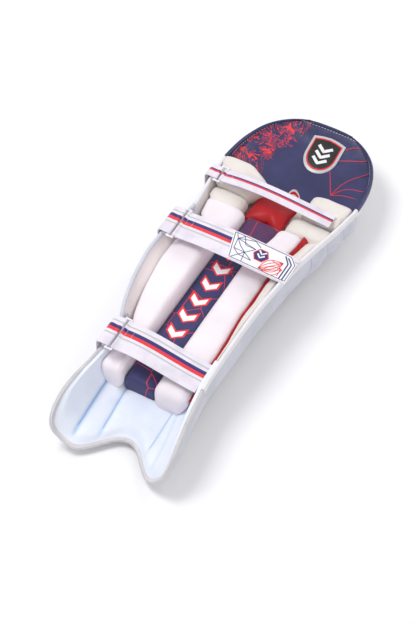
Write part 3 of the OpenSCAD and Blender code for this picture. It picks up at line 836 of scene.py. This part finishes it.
def instep():
    face = [toe_grid(FRONT_TS, 4, u) for u in (0, 0.12)]
    slab("instep_cover", *face, WHITE_LEATHER, "pad", replaces=["instep_face"])
    under, lining = (toe_grid(ALL_TS, 3, u) for u in (0.82, 1))
    puff, groove_shade = quilting(lining)
    away = arc_across(lining)
    lining = raised(lining, puff)
    # the third value of flat sets the painted shade in the sewn channels
    flat = np.stack([arc_across(lining), lining[..., 1], groove_shade], axis=-1)
    slab("instep_liner", under, lining, INSTEP_CLOTH, "pad", flat=np.concatenate([flat, flat]),
         replaces=["instep_lining", "instep_foam"], fill=0.5)
    quilt_stitching(lining, away)
    ts = even_ts(0, 1, 260, -330)
    rim = even(BINDING_TOP_Y, toe_y(np.array(0.0)) - 2, 2)
    ys = np.r_[rim, toe_y(ts), rim[::-1]]
    edge_tape("toe_binding", ys, np.r_[0 * rim, ts, 0 * rim + 1], (-200, 0.5), SILVER_TAPE, "pad", reach=4.6,
              cover=0.6, tape=1.0, nose=1.2, replaces=["instep_binding"])


def quilt_stitching(lining, away):
    """Pale blue thread along the bottom of the seams. away is how far each point is from the middle."""
    rows = np.arange(9, len(lining) - 1)
    columns = np.arange(lining.shape[1])
    ups = normals(lining)
    lines, lifts = [], []
    for place, slant, _ in QUILT_SEAMS[:3]:
        gap = away - place - slant * (lining[..., 1] - QUILT_Y)
        at = [np.interp(0, gap[i], columns) for i in rows]
        points = [[np.interp(c, columns, lining[i, :, k]) for k in range(3)] for i, c in zip(rows, at)]
        lines.append(np.array(points))
        lifts.append(np.array([ups[i, int(c)] for i, c in zip(rows, at)]))
    stitches("instep_quilt_stitches", lines, lifts, BLUE_THREAD, "pad", 3.4, 2.9, 0.5)


# ---------------------------------------------------------------- shin, wing and walls
SHIN_TS = even_ts(WING_T + 0.012, 1, 111)
CANE_PITCH, CANE_RIB, CANE_REACH = 13, 2.2, 52


def cane_ribs(grid):
    """How far the outer face stands out over the cane rods."""
    x, y = grid[..., 0], grid[..., 1]
    on_front = ease((CANE_REACH - np.abs(x)) / 4) * ease((y - ANKLE_Y) / 10) * ease((KNEE_Y - y) / 10)
    return -CANE_RIB * np.sqrt(np.abs(np.cos(np.pi * x / CANE_PITCH))) * on_front


def shin():
    ys = even(ANKLE_Y + SEAM_GAP, KNEE_Y - 0.4, 4)
    front_ts = even_ts(WING_T + 0.012, 1 - SIDE_T, 91)
    face = sheet_grid(ys, front_ts, 0)
    slab("shin_cover", raised(face, cane_ribs(face)), sheet_grid(ys, front_ts, 0.08), WHITE_LEATHER, "pad",
         replaces=["shin_face"])
    sheet_slab("shin_liner", ys, SHIN_TS, 0.9, 1.0, BOLSTER_CLOTH, "pad",
               replaces=["shin_lining", "shin_foam"])


def walls():
    """The fine mesh of the side walls, and the covered rims."""
    for side, ts in (("left", LEFT_WALL_TS), ("right", RIGHT_WALL_TS)):
        slab(f"{side}_instep_wall", toe_grid(ts, 4, 0), toe_grid(ts, 4, 0.12), BLUE_MESH, "pad")
    ys = even(ANKLE_Y + SEAM_GAP, KNEE_Y - 0.4, 4)
    sheet_slab("right_shin_wall", ys, RIGHT_WALL_TS, 0, 0.12, BLUE_MESH, "pad")
    rims = [("right_rim_cover", 1, BINDING_TOP_Y + 0.5, HAT_Y - 1, 0),
            ("left_ankle_rim_cover", 0, BINDING_TOP_Y + 0.5, ANKLE_Y - 0.5, -190),
            ("left_knee_rim_cover", 0, KNEE_Y + 1, HAT_Y - 1, 140)]
    for name, t, start, end, inner_y in rims:
        ys = even(start, end, 3)
        edge_tape(name, ys, 0 * ys + t, (inner_y, 0.5), WHITE_LEATHER, "pad", reach=7)


def wing():
    ys = even(ANKLE_Y + 1.5, KNEE_Y - 1.5, 3)
    ts = even_ts(0, WING_T - 0.006, 26)
    sheet_slab("wing_outer_cover", ys, ts, 0, 0.14, BLUE_MESH, "side_wing", replaces=["wing_cover"])
    inside = sheet_grid(ys, ts, 1)
    share = np.linspace(0, 1, len(ts))[None, :]
    ends = ease((ys - ys[0]) / 14) * ease((ys[-1] - ys) / 14)
    puff = 2.4 * np.sin(np.pi * share.clip(0.02, 0.98)) ** 0.6 * ends[:, None]
    puff = puff + 0.6 * ripple(inside, 30, 11) * ends[:, None]
    slab("wing_panel", sheet_grid(ys, ts, 0.86), raised(inside, puff), PANEL_LEATHER, "side_wing",
         replaces=["wing_lining", "wing_foam"], fill=0.35)
    end_ts = np.linspace(WING_T - 0.02, 0.02, 14)
    edge_ys = np.r_[0 * end_ts + ys[0], ys, 0 * end_ts + ys[-1]]
    edge_ts = np.r_[end_ts, 0 * ys, end_ts[::-1]]
    edge_tape("wing_rim_cover", edge_ys, edge_ts, (-43, 0.12), BLUE_MESH, "side_wing", reach=13, cover=0.9)
    seam_ys = even(ANKLE_Y + 5, KNEE_Y - 5, 3)[:, None]
    low, high = (shell(seam_ys, WING_T - k, 1) + [1.8, 0, 1.2] for k in (0.06, 0.082))
    strip = low + (high - low) * np.linspace(0, 1, 7)[None, :, None]
    slab("left_gusset_piping", strip, strip + [1.3, 0, 0.4], RED_LEATHER, "side_wing",
         replaces=["left_bolster_gusset"])


# ---------------------------------------------------------------- knee and top hat
ROLL_PUFF = 5.4             # how far a knee roll stands out between its seams


def roll_puff(face, number, rows):
    """How far a knee roll swells between its seams: less at the rims and where it would meet the ground."""
    bulge = np.sin(np.linspace(0.02, np.pi - 0.02, rows))[:, None] ** 0.62
    near_rim = ease((rim_at(face[..., 1]) - face[..., 2] - 2) / 24)
    puff = ROLL_PUFF * bulge * near_rim + 0.35 * ripple(face, 24, number + 20) * bulge * near_rim
    facing_down = np.abs(normals(face)[..., 2]) > 0.7
    return np.minimum(puff, np.where(facing_down, np.maximum(face[..., 2] - 0.3, 0), puff))


def knee():
    columns = {"": (even_ts(SIDE_T, 1 - SIDE_T, 91, 140), WHITE_LEATHER),
               "_left_end": (even_ts(0, SIDE_T, 22, 140), BLUE_MESH),
               "_right_end": (even_ts(1 - SIDE_T, 1, 22, 140), BLUE_MESH)}
    for number, level in enumerate(("lower", "middle", "upper")):
        ys = KNEE_Y + number * ROLL_PITCH + np.linspace(0.3, ROLL_PITCH - 0.3, 17)
        for part, (ts, material) in columns.items():
            face = sheet_grid(ys, ts, 0)
            slab(f"knee_roll_cover_{level}{part}", raised(face, -roll_puff(face, number, len(ys))),
                 sheet_grid(ys, ts, 0.24), material, "pad", fill=0.8,
                 replaces=[] if part else [f"knee_roll_{level}"])
    ys = even(KNEE_Y + 0.5, HAT_Y - 0.5, 4)
    ts = even_ts(0, 1, 121, 140)
    sheet_slab("knee_liner", ys, ts, 0.9, 1, CREAM_LEATHER, "pad", replaces=["knee_lining", "knee_foam"])


def hat_rows(start, step=3.0):
    """Rows of the top hat, closer together where its outline rounds in."""
    angle = np.linspace(0, math.radians(86), int((HAT_TIP - start) / step))
    return start + (HAT_TIP - start) * np.sin(angle) / math.sin(angle[-1])


HAT_TS = even_ts(0, 1, 121, 240)


def hat_puff(points):
    """How far the lining of the top hat stands up over its foam, at points on the lining face."""
    y = points[..., 1]
    at_edge = ease((HAT_TIP + 2 - y) / 18) * ease((rim_at(y) - points[..., 2]) / 16 + 0.05)
    return 0.15 + at_edge * (2.6 + 0.7 * ripple(points, 60, 31) + 0.3 * ripple(points, 22, 33))


def hat_z(x, y):
    """Height of the lining of the top hat, puff included."""
    level = floor_z(x, y)
    low = front_at(y) + thick_at(y)
    level = level + TIP_RISE * near_tip(y) * (rim_at(y) - level) / (rim_at(y) - low)
    return level + 1.04 * hat_puff(np.stack([x, y, level], axis=-1))


def top_hat():
    ys = np.r_[192, 196, 200, hat_rows(HAT_Y - 2)]
    tucked = ease((ys - HAT_Y + 4) / 6)[:, None]
    outside = sheet_slab("top_hat_cover", ys, HAT_TS, 0.06 * (1 - tucked), 0.12, WHITE_LEATHER, None,
                         replaces=["top_hat_face"])
    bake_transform(outside)
    ys = np.r_[even(190, HAT_Y - 3, 3), hat_rows(HAT_Y)]
    inside = sheet_grid(ys, HAT_TS, 1)
    liner = slab("top_hat_liner", sheet_grid(ys, HAT_TS, 0.86), raised(inside, hat_puff(inside)),
                 NAVY_SKETCH, None, replaces=["top_hat_lining", "top_hat_foam"], fill=0.4)
    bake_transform(liner)
    rim = hat_rows(HAT_Y + 1.5, 2.5)
    ts = even_ts(0, 1, 70, HAT_TIP)[1:-1]
    edge_ys = np.r_[rim, 0 * ts + HAT_TIP, rim[::-1]]
    edge_ts = np.r_[0 * rim, ts, 0 * rim + 1]
    edge_tape("top_hat_edge_tape", edge_ys, edge_ts, (250, 0.5), NAVY_CLOTH, "top_hat", reach=4, nose=1.2,
              replaces=["top_hat_piping"])
    row = resampled(layer(np.minimum(edge_ys, HAT_TIP - 7), edge_ts.clip(0.04, 0.96), 1), 2)
    row[:, 2] = hat_z(row[:, 0], row[:, 1]) + 0.2
    stitches("top_hat_edge_stitches", [row], [UPWARD], WHITE_THREAD, "top_hat", 5.2, 3.4, 0.34)


# ---------------------------------------------------------------- cushions on the lining
def side_edge(sign, inset):
    return lambda y: sign * (half_w(y) - wall_at(y) - inset)


def constant(value):
    return lambda y: value + 0 * y


def bolster_left_edge(y):
    """The foot of the left bolster stays clear of the wing, which hinges beside it."""
    return -(half_w(y) - wall_at(y)) + 5 + 5.5 * ease((y - ANKLE_Y + 12) / 12) * ease((KNEE_Y + 8 - y) / 12)


def bolster_right_edge(y):
    """The right bolster is widest at the ankle, and bends outwards at the knee."""
    return 65.5 - 4.5 * ease((y + 150) / 90) + 10 * ease((y - 40) / 70)


def strip_right_edge(y):
    return STRIP_RIGHT + 16 * ease((y - 30) / 80)


def strip_left_edge(y):
    return STRIP_LEFT + 9 * ease((y - 40) / 60)


def cushions():
    pleats = [(-50, 2.2, -238, -196), (-44, 1.5, -236, -200), (-58, 1.2, -236, -204)]
    cushion("left_bolster_cushion", "left_bolster", (1, 4), bolster_left_edge,
            lambda y: strip_left_edge(y) - 0.6, lambda y: 80 + 0.5 * flare_at(y), BOLSTER_CLOTH, 12, 41,
            slope=15, end_height=0.5, pleats=pleats, lean=lambda y: 1.45 * flare_at(y) + 3)
    cushion("right_bolster_cushion", "right_bolster", (1, 2), lambda y: strip_right_edge(y) + 0.6,
            bolster_right_edge, constant(76.5), BOLSTER_CLOTH, 14, 43, slope=16, end_height=0.45)
    cushion("centre_strip_pad", "center_strip", (0, 2), lambda y: strip_left_edge(y) - 1,
            lambda y: strip_right_edge(y) + 1, constant(62), STRIP_CLOTH, 3, 45, slope=9, belly=5,
            end_height=0.45, wrinkle=0.5)
    side_roll()


def side_roll():
    """The puffy roll along the right wall, and the red gusset that joins it to the bolster."""
    def top(y):
        return np.minimum(rim_at(y) - 2, 97) - 3.2 * np.abs(np.cos((y + 35) / 27)) ** 6

    cushion("right_side_cushion", "right_side_roll", (-6, 3), lambda y: bolster_right_edge(y) + 3.5,
            side_edge(1, 1.5), top, CREAM_LEATHER, 8, 47, belly=2.4, slant=14, wrinkle=1.6)
    ys = even(-226, 118, 3)
    edge = bolster_right_edge(ys)
    fold = 0.8 * np.sin(ys / 13) + 0.5 * np.sin(ys / 5.3)
    foot_z = np.maximum(floor_z(edge + 7.5, ys) + 1.5, 60 + fold)
    foot = np.stack([edge + 7.5 + 0.3 * fold, ys, foot_z], axis=1)
    head = np.stack([edge - 1.0, ys, 73.5 + fold - 12 * ease((-195 - ys) / 30)], axis=1)
    share = np.linspace(0, 1, 9)[None, :, None]
    strip = foot[:, None] + (head - foot)[:, None] * share
    strip = strip + np.array([0.7, 0, 0.7]) * 1.6 * np.sin(np.pi * share)
    slab("right_gusset", strip - [0.8, 0, 0.6], strip + [0.8, 0, 0.6], RED_LEATHER, "pad",
         replaces=["right_bolster_gusset"])


def upper_left_edge(y):
    """The upper left cushion reaches furthest in at two thirds of its length."""
    return -43 + 19 * ease((y - 150) / 32) - 34 * ease((y - 182) / 28)


def over_rim(y):
    """How far the upper left cushion leans out over the rim."""
    return 7 * ease((y - 176) / 12)


def knee_cushions():
    """Four stuffed cushions: level, side, how much longer and higher than their CAD node, edges and lean."""
    rows = [("lower", "left", (7, 0), 2, side_edge(-1, 1), constant(-40), constant(0)),
            ("lower", "right", (5, 2), 3, constant(33), side_edge(1, 1), constant(0)),
            ("upper", "left", (3, 7), 5, side_edge(-1, -1), upper_left_edge, over_rim),
            ("upper", "right", (-1, 5), 4, constant(42), side_edge(1, 0), constant(0))]
    for seed, (level, side, longer, higher, left, right, lean) in enumerate(rows, 51):
        node = f"{level}_knee_bolster_{side}"
        top = cad_box(node)[1][2] + higher
        stuffed = cushion(f"{level}_knee_cushion_{side}", node, longer, left, right,
                          lambda y: top + 5 / 7 * lean(y), CREAM_LEATHER, 9, seed, slope=14, rows=46,
                          wrinkle=1.3, lean=lean)
        inflate(stuffed, voxel=0.0045, pressure=3.5, cap=0.006)
    red_knee_cushion()


def red_knee_cushion():
    """A square pillow, whose seam runs round its middle and pulls its sides in between the corners."""
    a, b = np.meshgrid(np.linspace(-1, 1, 45), np.linspace(-1, 1, 39))
    low, high = cad_box("knee_cushion")
    centre, half = (low + high) / 2 - [0, 5, 0], (high - low) / 2 + [1.5, 2, 0]
    x = centre[0] + half[0] * a * (1 - 0.12 * (1 - b ** 2))
    y = centre[1] + half[1] * b * (1 - 0.14 * (1 - a ** 2))
    seam = floor_z(x, y) + 13
    swell = (1 - np.abs(a) ** 2.2) ** 0.55 * (1 - np.abs(b) ** 2.2) ** 0.55
    tuck = np.exp(-((x - 1) / 5) ** 2) * ease((-0.25 - b) / 0.75)
    y = y + 4 * tuck
    top = np.stack([x, y, seam + 0.25 + 15 * swell - 5 * tuck * swell], axis=-1)
    top[..., 2] += 0.7 * ripple(top, 18, 61) * swell
    bottom = np.stack([x, y, seam - 0.25 - 9 * swell], axis=-1)
    pillow = slab("red_knee_pillow", bottom, top, RED_LEATHER, "pad", replaces=["knee_cushion"], fill=0.75)
    inflate(pillow, voxel=0.0035, pressure=2.5, cap=0.0025)


# ---------------------------------------------------------------- straps
SLEEVE_R, PLY = 3.0, 1.15
BAR_IN, BAR_UP = 15, 5.5    # from the outside of the rim to the ring's bar
RING_PITCH = 9              # between the two bars of a ring
RING_WIRE_R = 1.5
GRIP_HALF = 0.8             # half the thickness of the hook and loop tape
# of each strap: the body that its anchor is sewn to, how far it arches up, and its webbing
STRAPS = {"knee_strap": ("pad", 6.5, NARROW_WEB), "calf_strap": ("side_wing", 3, WIDE_WEB),
          "ankle_strap": ("pad", 3, WIDE_WEB)}


def strap_place(name):
    """y of the middle of a strap, its width, and x and z of the ring's bar on the anchor's side."""
    low, high = cad_box(name + "_webbing")
    ring_low, ring_high = cad_box(name + "_ring")
    bar = np.array([ring_low[0] + RING_WIRE_R, (ring_low[2] + ring_high[2]) / 2])
    return (low[1] + high[1]) / 2, high[1] - low[1], bar


def strap_run(name):
    """x and z along the middle of the strap's upper ply, from its fold to the free end."""
    low, high = cad_box(name + "_webbing")
    x0, z0 = strap_place(name)[2] + [RING_PITCH + 3.1, -1.1]
    k = np.linspace(0, 1, 61)
    x = x0 + (high[0] - x0) * k
    z = z0 + (low[2] - z0) * ease(k) + STRAPS[name][1] * np.sin(np.pi * k ** 0.8) + PLY
    return np.stack([x, z], axis=1)


def web_strip(name, path, y, width, thick, material, body, cut=None, **options):
    """Webbing with soft edges along a path of (x, z). cut(x) gives where its lower and upper edge lie."""
    path3 = np.stack([path[:, 0], 0 * path[:, 0] + y, path[:, 1]], axis=1)
    path3 = resampled(path3, 1.6)
    along = np.gradient(path3, axis=0)
    along /= np.linalg.norm(along, axis=1, keepdims=True)
    out = np.cross(along, [0, 1, 0])
    shares = np.r_[-0.5, -0.496, np.linspace(-0.48, 0.48, 25), 0.496, 0.5]
    edge = np.clip((0.5 - np.abs(shares)) * width / 0.7, 0, 1) ** 0.5
    over = shares * width
    if cut is None:
        offset = np.broadcast_to(over, (len(path3), len(over)))
    else:
        low, high = cut(path3[:, 0])
        offset = (low[:, None] + (high - low)[:, None] * (shares[None, :] + 0.5))
    sides = []
    for sign in (1, -1):
        rows = path3[:, None] + np.stack([0 * offset, offset, 0 * offset], axis=-1)
        rows = rows + out[:, None] * (sign * (0.12 + (thick / 2 - 0.12) * edge))[None, :, None]
        sides.append(rows if sign > 0 else rows[:, ::-1])
    rings = np.concatenate(sides, axis=1)
    across_web = np.concatenate([offset, offset[:, ::-1]], axis=1)
    run = np.repeat(length_along(path3)[:, None], rings.shape[1], axis=1)
    flat = np.stack([run, across_web], axis=-1)
    return loft(name, rings, material, body, flat=flat, sharp=50, **options)


def strap(name):
    anchor_body, _, material = STRAPS[name]
    y, width, bar = strap_place(name)
    run = strap_run(name)
    turn = np.linspace(np.pi / 2, 3 * np.pi / 2, 15)
    fold = SLEEVE_R * 0.86 * np.stack([np.cos(turn), np.sin(turn)], axis=1)
    under = run[1:9] - [0, PLY * 1.05]
    path = np.concatenate([run[::-1], bar + [RING_PITCH, 0] + fold, under])
    web_strip(name + "_web", path, y, width, PLY, material, name, replaces=[name + "_webbing"])
    rim = bar - [BAR_IN, BAR_UP]
    bend = np.linspace(np.pi / 2, np.pi, 8)
    over_rim = rim + [3.6, 3.0] + np.stack([6.0 * np.cos(bend), 4.8 * np.sin(bend)], axis=1)
    down = rim + [[-2.5, -6], [-2.3, -24]]
    lower = bar + [[-8.5, -2.0], [-4, -2.6]]
    path = np.concatenate([lower, bar - fold, bar + [[-4, 1.6]], over_rim, down])
    web_strip(name + "_anchor", path, y, width, PLY, material, anchor_body, replaces=[name + "_tab"])
    strap_stitching(name, y, width, run)
    low, high = cad_box(name + "_hook_pad")
    hook_z = np.interp((low[0] + high[0]) / 2, run[:, 0], run[:, 1]) - 1.6
    grips(name + "_hooks", name + "_hook_pad", hook_z, HOOKS, name)
    patch_z = cad_box(name + "_loop_patch")[0][2] + GRIP_HALF
    grips(name + "_loops", name + "_loop_patch", patch_z, LOOPS, "pad")


def grips(name, node, z, material, body):
    """A rectangle of hook or loop tape with rounded corners, over a CAD node, with its middle at height z."""
    a, b = np.meshgrid(np.linspace(-1, 1, 25), np.linspace(-1, 1, 31))
    low, high = cad_box(node)
    middle, (length, width, _) = (low + high) / 2, high - low
    radius = 2.5
    x = middle[0] + a * length / 2 * (1 - radius / length * np.abs(b) ** 14)
    y = middle[1] + b * width / 2 * (1 - radius / width * np.abs(a) ** 14)
    under = np.stack([x, y, z - GRIP_HALF + 0 * x], axis=-1)
    over = np.stack([x, y, z + GRIP_HALF - 0.5 * np.maximum(np.abs(a), np.abs(b)) ** 20], axis=-1)
    slab(name, under, over, material, body, replaces=[node])


def strap_stitching(name, y, width, run):
    """Cross rows where the webbing is sewn back on itself behind its ring."""
    lines, ups = [], []
    across_web = np.linspace(-0.47, 0.47, 40) * width
    for at in (1.5, 12.0):
        x = run[0, 0] + at
        z = np.interp(x, run[:, 0], run[:, 1]) + PLY / 2 + 0.1
        lines.append(np.stack([0 * across_web + x, y + across_web, 0 * across_web + z], axis=1))
        ups.append(UPWARD)
    stitches(name + "_stitches", lines, ups, WHITE_THREAD, name, 3.2, 2.2, 0.26)


def calf_end_patch():
    """The printed patch at the free end: its left end slants, and a corner of its right end is cut off."""
    middle_y, _, _ = strap_place("calf_strap")
    run = strap_run("calf_strap")
    start = -14.0
    inside = run[run[:, 0] > start] + [0, PLY + 0.35]

    def cut(x):
        low = np.maximum(-25.0, 25.0 - (x - start) * 3.6)
        high = np.minimum(25.0, 25.0 - (x - 84.0) * 1.1)
        return np.minimum(low, high - 0.8), high

    web_strip("calf_end_patch", inside, middle_y, 50, 1.0, END_PATCH, "calf_strap", cut=cut,
              replaces=["calf_strap_end_patch"])

    def surface(x, _):
        return np.interp(x, run[:, 0], run[:, 1]) + PLY + 0.85

    def ink(name, lines, width, material):
        placed = [[(x, middle_y + y) for x, y in line] for line in lines]
        surface_lines(name, placed, surface, width, material, "calf_strap", 0.15)

    border = [(-11, 23), (83, 23), (94.5, 11), (94.5, -23), (2.5, -23), (-11, 23)]
    hub, knot = (-2, 14), (19, -5)
    spokes = [(-7, 22), (6, 22), (24, 22), (31, 8), (8, 3), (1, -5), (5, -22), (22, -22), (34, -14)]
    facets = [[hub, end] for end in spokes[:6]] + [[knot, end] for end in spokes[3:]]
    facets += [[(6, 22), (14, 8), (31, 8)], [(1, -5), (12, -13), (34, -14)], [(24, 22), (36, 15)]]
    ink("calf_patch_lines", [border] + facets, 1.1, NAVY_INK)
    ink("calf_patch_bars", [[(80, 19), (90, 9), (90, -23)], [(75, 20), (85, 8), (85, -23)]], 2.0, NAVY_INK)
    curls = [bowed((50, -21), (78, 6), bow) for bow in (-0.3, -0.16, -0.02, 0.12, 0.26)]
    curls += [bowed((56, -22), (82, -6), bow) for bow in (-0.3, 0.0, 0.22)]
    curls += [bowed((62, 2), (80, -20), 0.3)]
    ink("calf_patch_curls", curls, 1.2, RED_INK)
    angle = np.radians(np.arange(0, 360, 60))
    hexagon = np.stack([np.cos(angle), np.sin(angle)], axis=1)
    centre = np.array([43.0, middle_y + 2])
    plate("calf_emblem_line", hexagon * 13, 0.0, 0.3, RED_INK, centre, "calf_strap", surface)
    plate("calf_emblem_field", hexagon * 11.4, 0.1, 0.45, NAVY_INK, centre, "calf_strap", surface)
    levels = [middle_y + k for k in (3, 10)]
    chevrons = [[(37, level), (43, level - 6), (49, level)] for level in levels]
    surface_lines("calf_emblem_chevrons", chevrons, lambda x, y: surface(x, y) + 0.45, 2.6, BADGE_WHITE,
                  "calf_strap", 0.2)


# ---------------------------------------------------------------- badge, labels and printed lines
LABEL_RISE = 29             # how far the rounded end of the half-round label stands up
def shield_outline(w, h):
    """A shield that narrows to a point at its lower end."""
    angle = np.radians(np.arange(0, 181, 6))
    top = [(-w / 2, h * 0.42), (-w / 4, h * 0.475), (0, h * 0.5), (w / 4, h * 0.475), (w / 2, h * 0.42)]
    sides = [(w / 2 * math.cos(a), -h / 2 * abs(math.sin(a)) ** 0.9) for a in angle]
    return np.array(top + sides)


def plate(name, outline, z0, z1, material, centre, body, surface, replaces=()):
    """A thin plate on a surface, from z0 to z1 above it."""
    rings = []
    for share, z in ((1, z0), (1, z1 - (z1 - z0) / 4), (0.93, z1), (0.7, z1), (0.4, z1), (0.1, z1)):
        x, y = (outline * share + centre).T
        rings.append(np.stack([x, y, surface(x, y) + z], axis=1))
    return loft(name, np.stack(rings), material, body, replaces=replaces, sharp=30)


def badge():
    """A plain shield with three chevrons, where the frame has its badge. It is stiff, so it lies on a plane
    that leans with the lining and touches its highest points."""
    low, high = cad_box("badge_rim")
    x, y = (low + high)[:2] / 2
    w, h = (high - low)[:2] + [2, 3]
    slope = (hat_z(x, y + h / 2) - hat_z(x, y - h / 2)) / h
    under = np.concatenate([shield_outline(w, h) * share for share in (1, 0.7, 0.4)]) + [x, y]
    rise = np.max(hat_z(*under.T) - slope * (under[:, 1] - y))

    def plane(_, at_y):
        return rise + slope * (at_y - y)

    shapes = [("badge_silver_rim", (w, h), -2.5, 1.3, BADGE_RIM, ["badge_rim"]),
              ("badge_red_line", (w - 8, h - 9), 0.8, 1.8, BADGE_RED, []),
              ("badge_black_field", (w - 12, h - 14), 1.4, 2.3, BADGE_BLACK, ["badge_shield"])]
    for name, size, z0, z1, material, nodes in shapes:
        plate(name, shield_outline(*size), z0, z1, material, np.array([x, y]), "top_hat", plane, nodes)
    chevrons = [[(x - 12, y + k), (x, y + k - 9), (x + 12, y + k)] for k in (14, 3, -8)]
    surface_lines("badge_chevrons", chevrons, lambda at_x, at_y: plane(at_x, at_y) + 2.3, 5.0, BADGE_WHITE,
                  "top_hat", 0.4)


def bowed(start, end, bow, count=24):
    """Points from start to end along an arc that bows out sideways."""
    k = np.linspace(0, 1, count)[:, None]
    start, end = np.array(start, float), np.array(end, float)
    side = np.array([start[1] - end[1], end[0] - start[0]])
    return start + (end - start) * k + side * (bow * np.sin(np.pi * k))


def hat_lines():
    """Thin red lines of the print on the right part of the top hat."""
    root = (57, 236)
    lines = [bowed((29, 288), root, 0.0), bowed(root, (95, 291), 0.14), bowed(root, (104, 254), 0.22),
             bowed((38, 301), (80, 313), 0.02), bowed((40, 321), (60, 331), 0.12),
             bowed(root, (100, 239), 0.1)]
    surface_lines("top_hat_red_lines", lines, hat_z, 0.9, INK, "top_hat", 0.25)


def knee_label():
    """The half-round label is a stiff tab: its foot lies on the lining and its rounded end stands up."""
    (left, foot, _), (right, head, _) = cad_box("knee_label")
    middle, depth = (left + right) / 2, head - foot
    ground = hat_z(middle, foot) + 0.3

    def tab_z(x, y):
        return ground + LABEL_RISE * ((y - foot) / depth) ** 1.5 + 0 * x

    angle = np.linspace(0, np.pi, 25)
    radius = np.linspace(1, 0.05, 8)[:, None]
    x = middle + (right - left) / 2 * radius * np.cos(angle)
    y = foot + depth * radius * np.sin(angle)
    low = np.stack([x, y, tab_z(x, y)], axis=-1)
    slab("half_round_label", low, low + [0, 0, 0.9], BADGE_WHITE, "pad", replaces=["knee_label"])
    sweep = np.linspace(0.25, 2.9, 20)
    arcs = [[(middle + r * math.cos(a), foot + 0.5 + 0.7 * r * math.sin(a)) for a in sweep]
            for r in (12.5, 5.5)]
    surface_lines("half_round_label_lines", arcs, lambda x, y: tab_z(x, y) + 0.9, 1.3, RED_INK, "pad", 0.2)


# ---------------------------------------------------------------- CAD nodes that stay, floor, lights, camera
def dress_nodes():
    for name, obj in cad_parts.items():
        material = CANE if "canes" in name else RING_ENAMEL if name.endswith("_ring") else FOAM
        obj.data.materials.clear()
        obj.data.materials.append(material)


def studio():
    floor_mesh = bpy.data.meshes.new("studio_floor")
    reach = 6.0
    corners = [(x * reach, y * reach, 0) for x, y in ((-1, -1), (1, -1), (1, 1), (-1, 1))]
    floor_mesh.from_pydata(corners, [], [(0, 1, 2, 3)])
    floor = bpy.data.objects.new("studio_floor", floor_mesh)
    bpy.context.scene.collection.objects.link(floor)
    f = Finish("floor_paint", "foam", 0.9)
    f.colour(f.mix(f.noise(3, 2), srgb(244, 244, 246), srgb(240, 240, 243)))
    floor_mesh.materials.append(f.material)
    world = bpy.data.worlds.new("studio")
    world.use_nodes = True
    world.node_tree.nodes["Background"].inputs[0].default_value = (1.0, 1.0, 1.0, 1.0)
    world.node_tree.nodes["Background"].inputs[1].default_value = 0.62
    bpy.context.scene.world = world
    lamps = [("key", (-0.9, -0.3, 2.1), 0.9, 26), ("fill", (1.6, -1.4, 1.3), 1.6, 8),
             ("back", (0.5, 1.8, 1.5), 1.4, 10)]
    for name, place, size, watts in lamps:
        light = bpy.data.lights.new(name, "AREA")
        light.energy = watts
        light.size = size
        lamp = bpy.data.objects.new(name, light)
        lamp.location = place
        aim = Vector((0, 0, 0.05)) - Vector(place)
        lamp.rotation_euler = aim.to_track_quat("-Z", "Y").to_euler()
        bpy.context.scene.collection.objects.link(lamp)


def camera():
    """The photograph's view: 29 degrees to the right of the toe end, from 52 degrees up."""
    azimuth, elevation, distance = math.radians(29.34), math.radians(51.61), 2.522
    target = Vector((0.0092, -0.0707, 0.0612))
    back = Vector((math.sin(azimuth) * math.cos(elevation), -math.cos(azimuth) * math.cos(elevation),
                   math.sin(elevation)))
    lens = bpy.data.cameras.new("camera")
    lens.lens = 98.9
    lens.sensor_width = 36
    view = bpy.data.objects.new("camera", lens)
    view.location = target + back * distance
    view.rotation_euler = back.to_track_quat("Z", "Y").to_euler()
    bpy.context.scene.collection.objects.link(view)
    bpy.context.scene.camera = view


camera()
studio()
dress_nodes()
instep()
shin()
walls()
wing()
knee()
top_hat()
cushions()
knee_cushions()
for strap_name in STRAPS:
    strap(strap_name)
calf_end_patch()
badge()
hat_lines()
knee_label()
bpy.context.scene.view_settings.view_transform = "Standard"
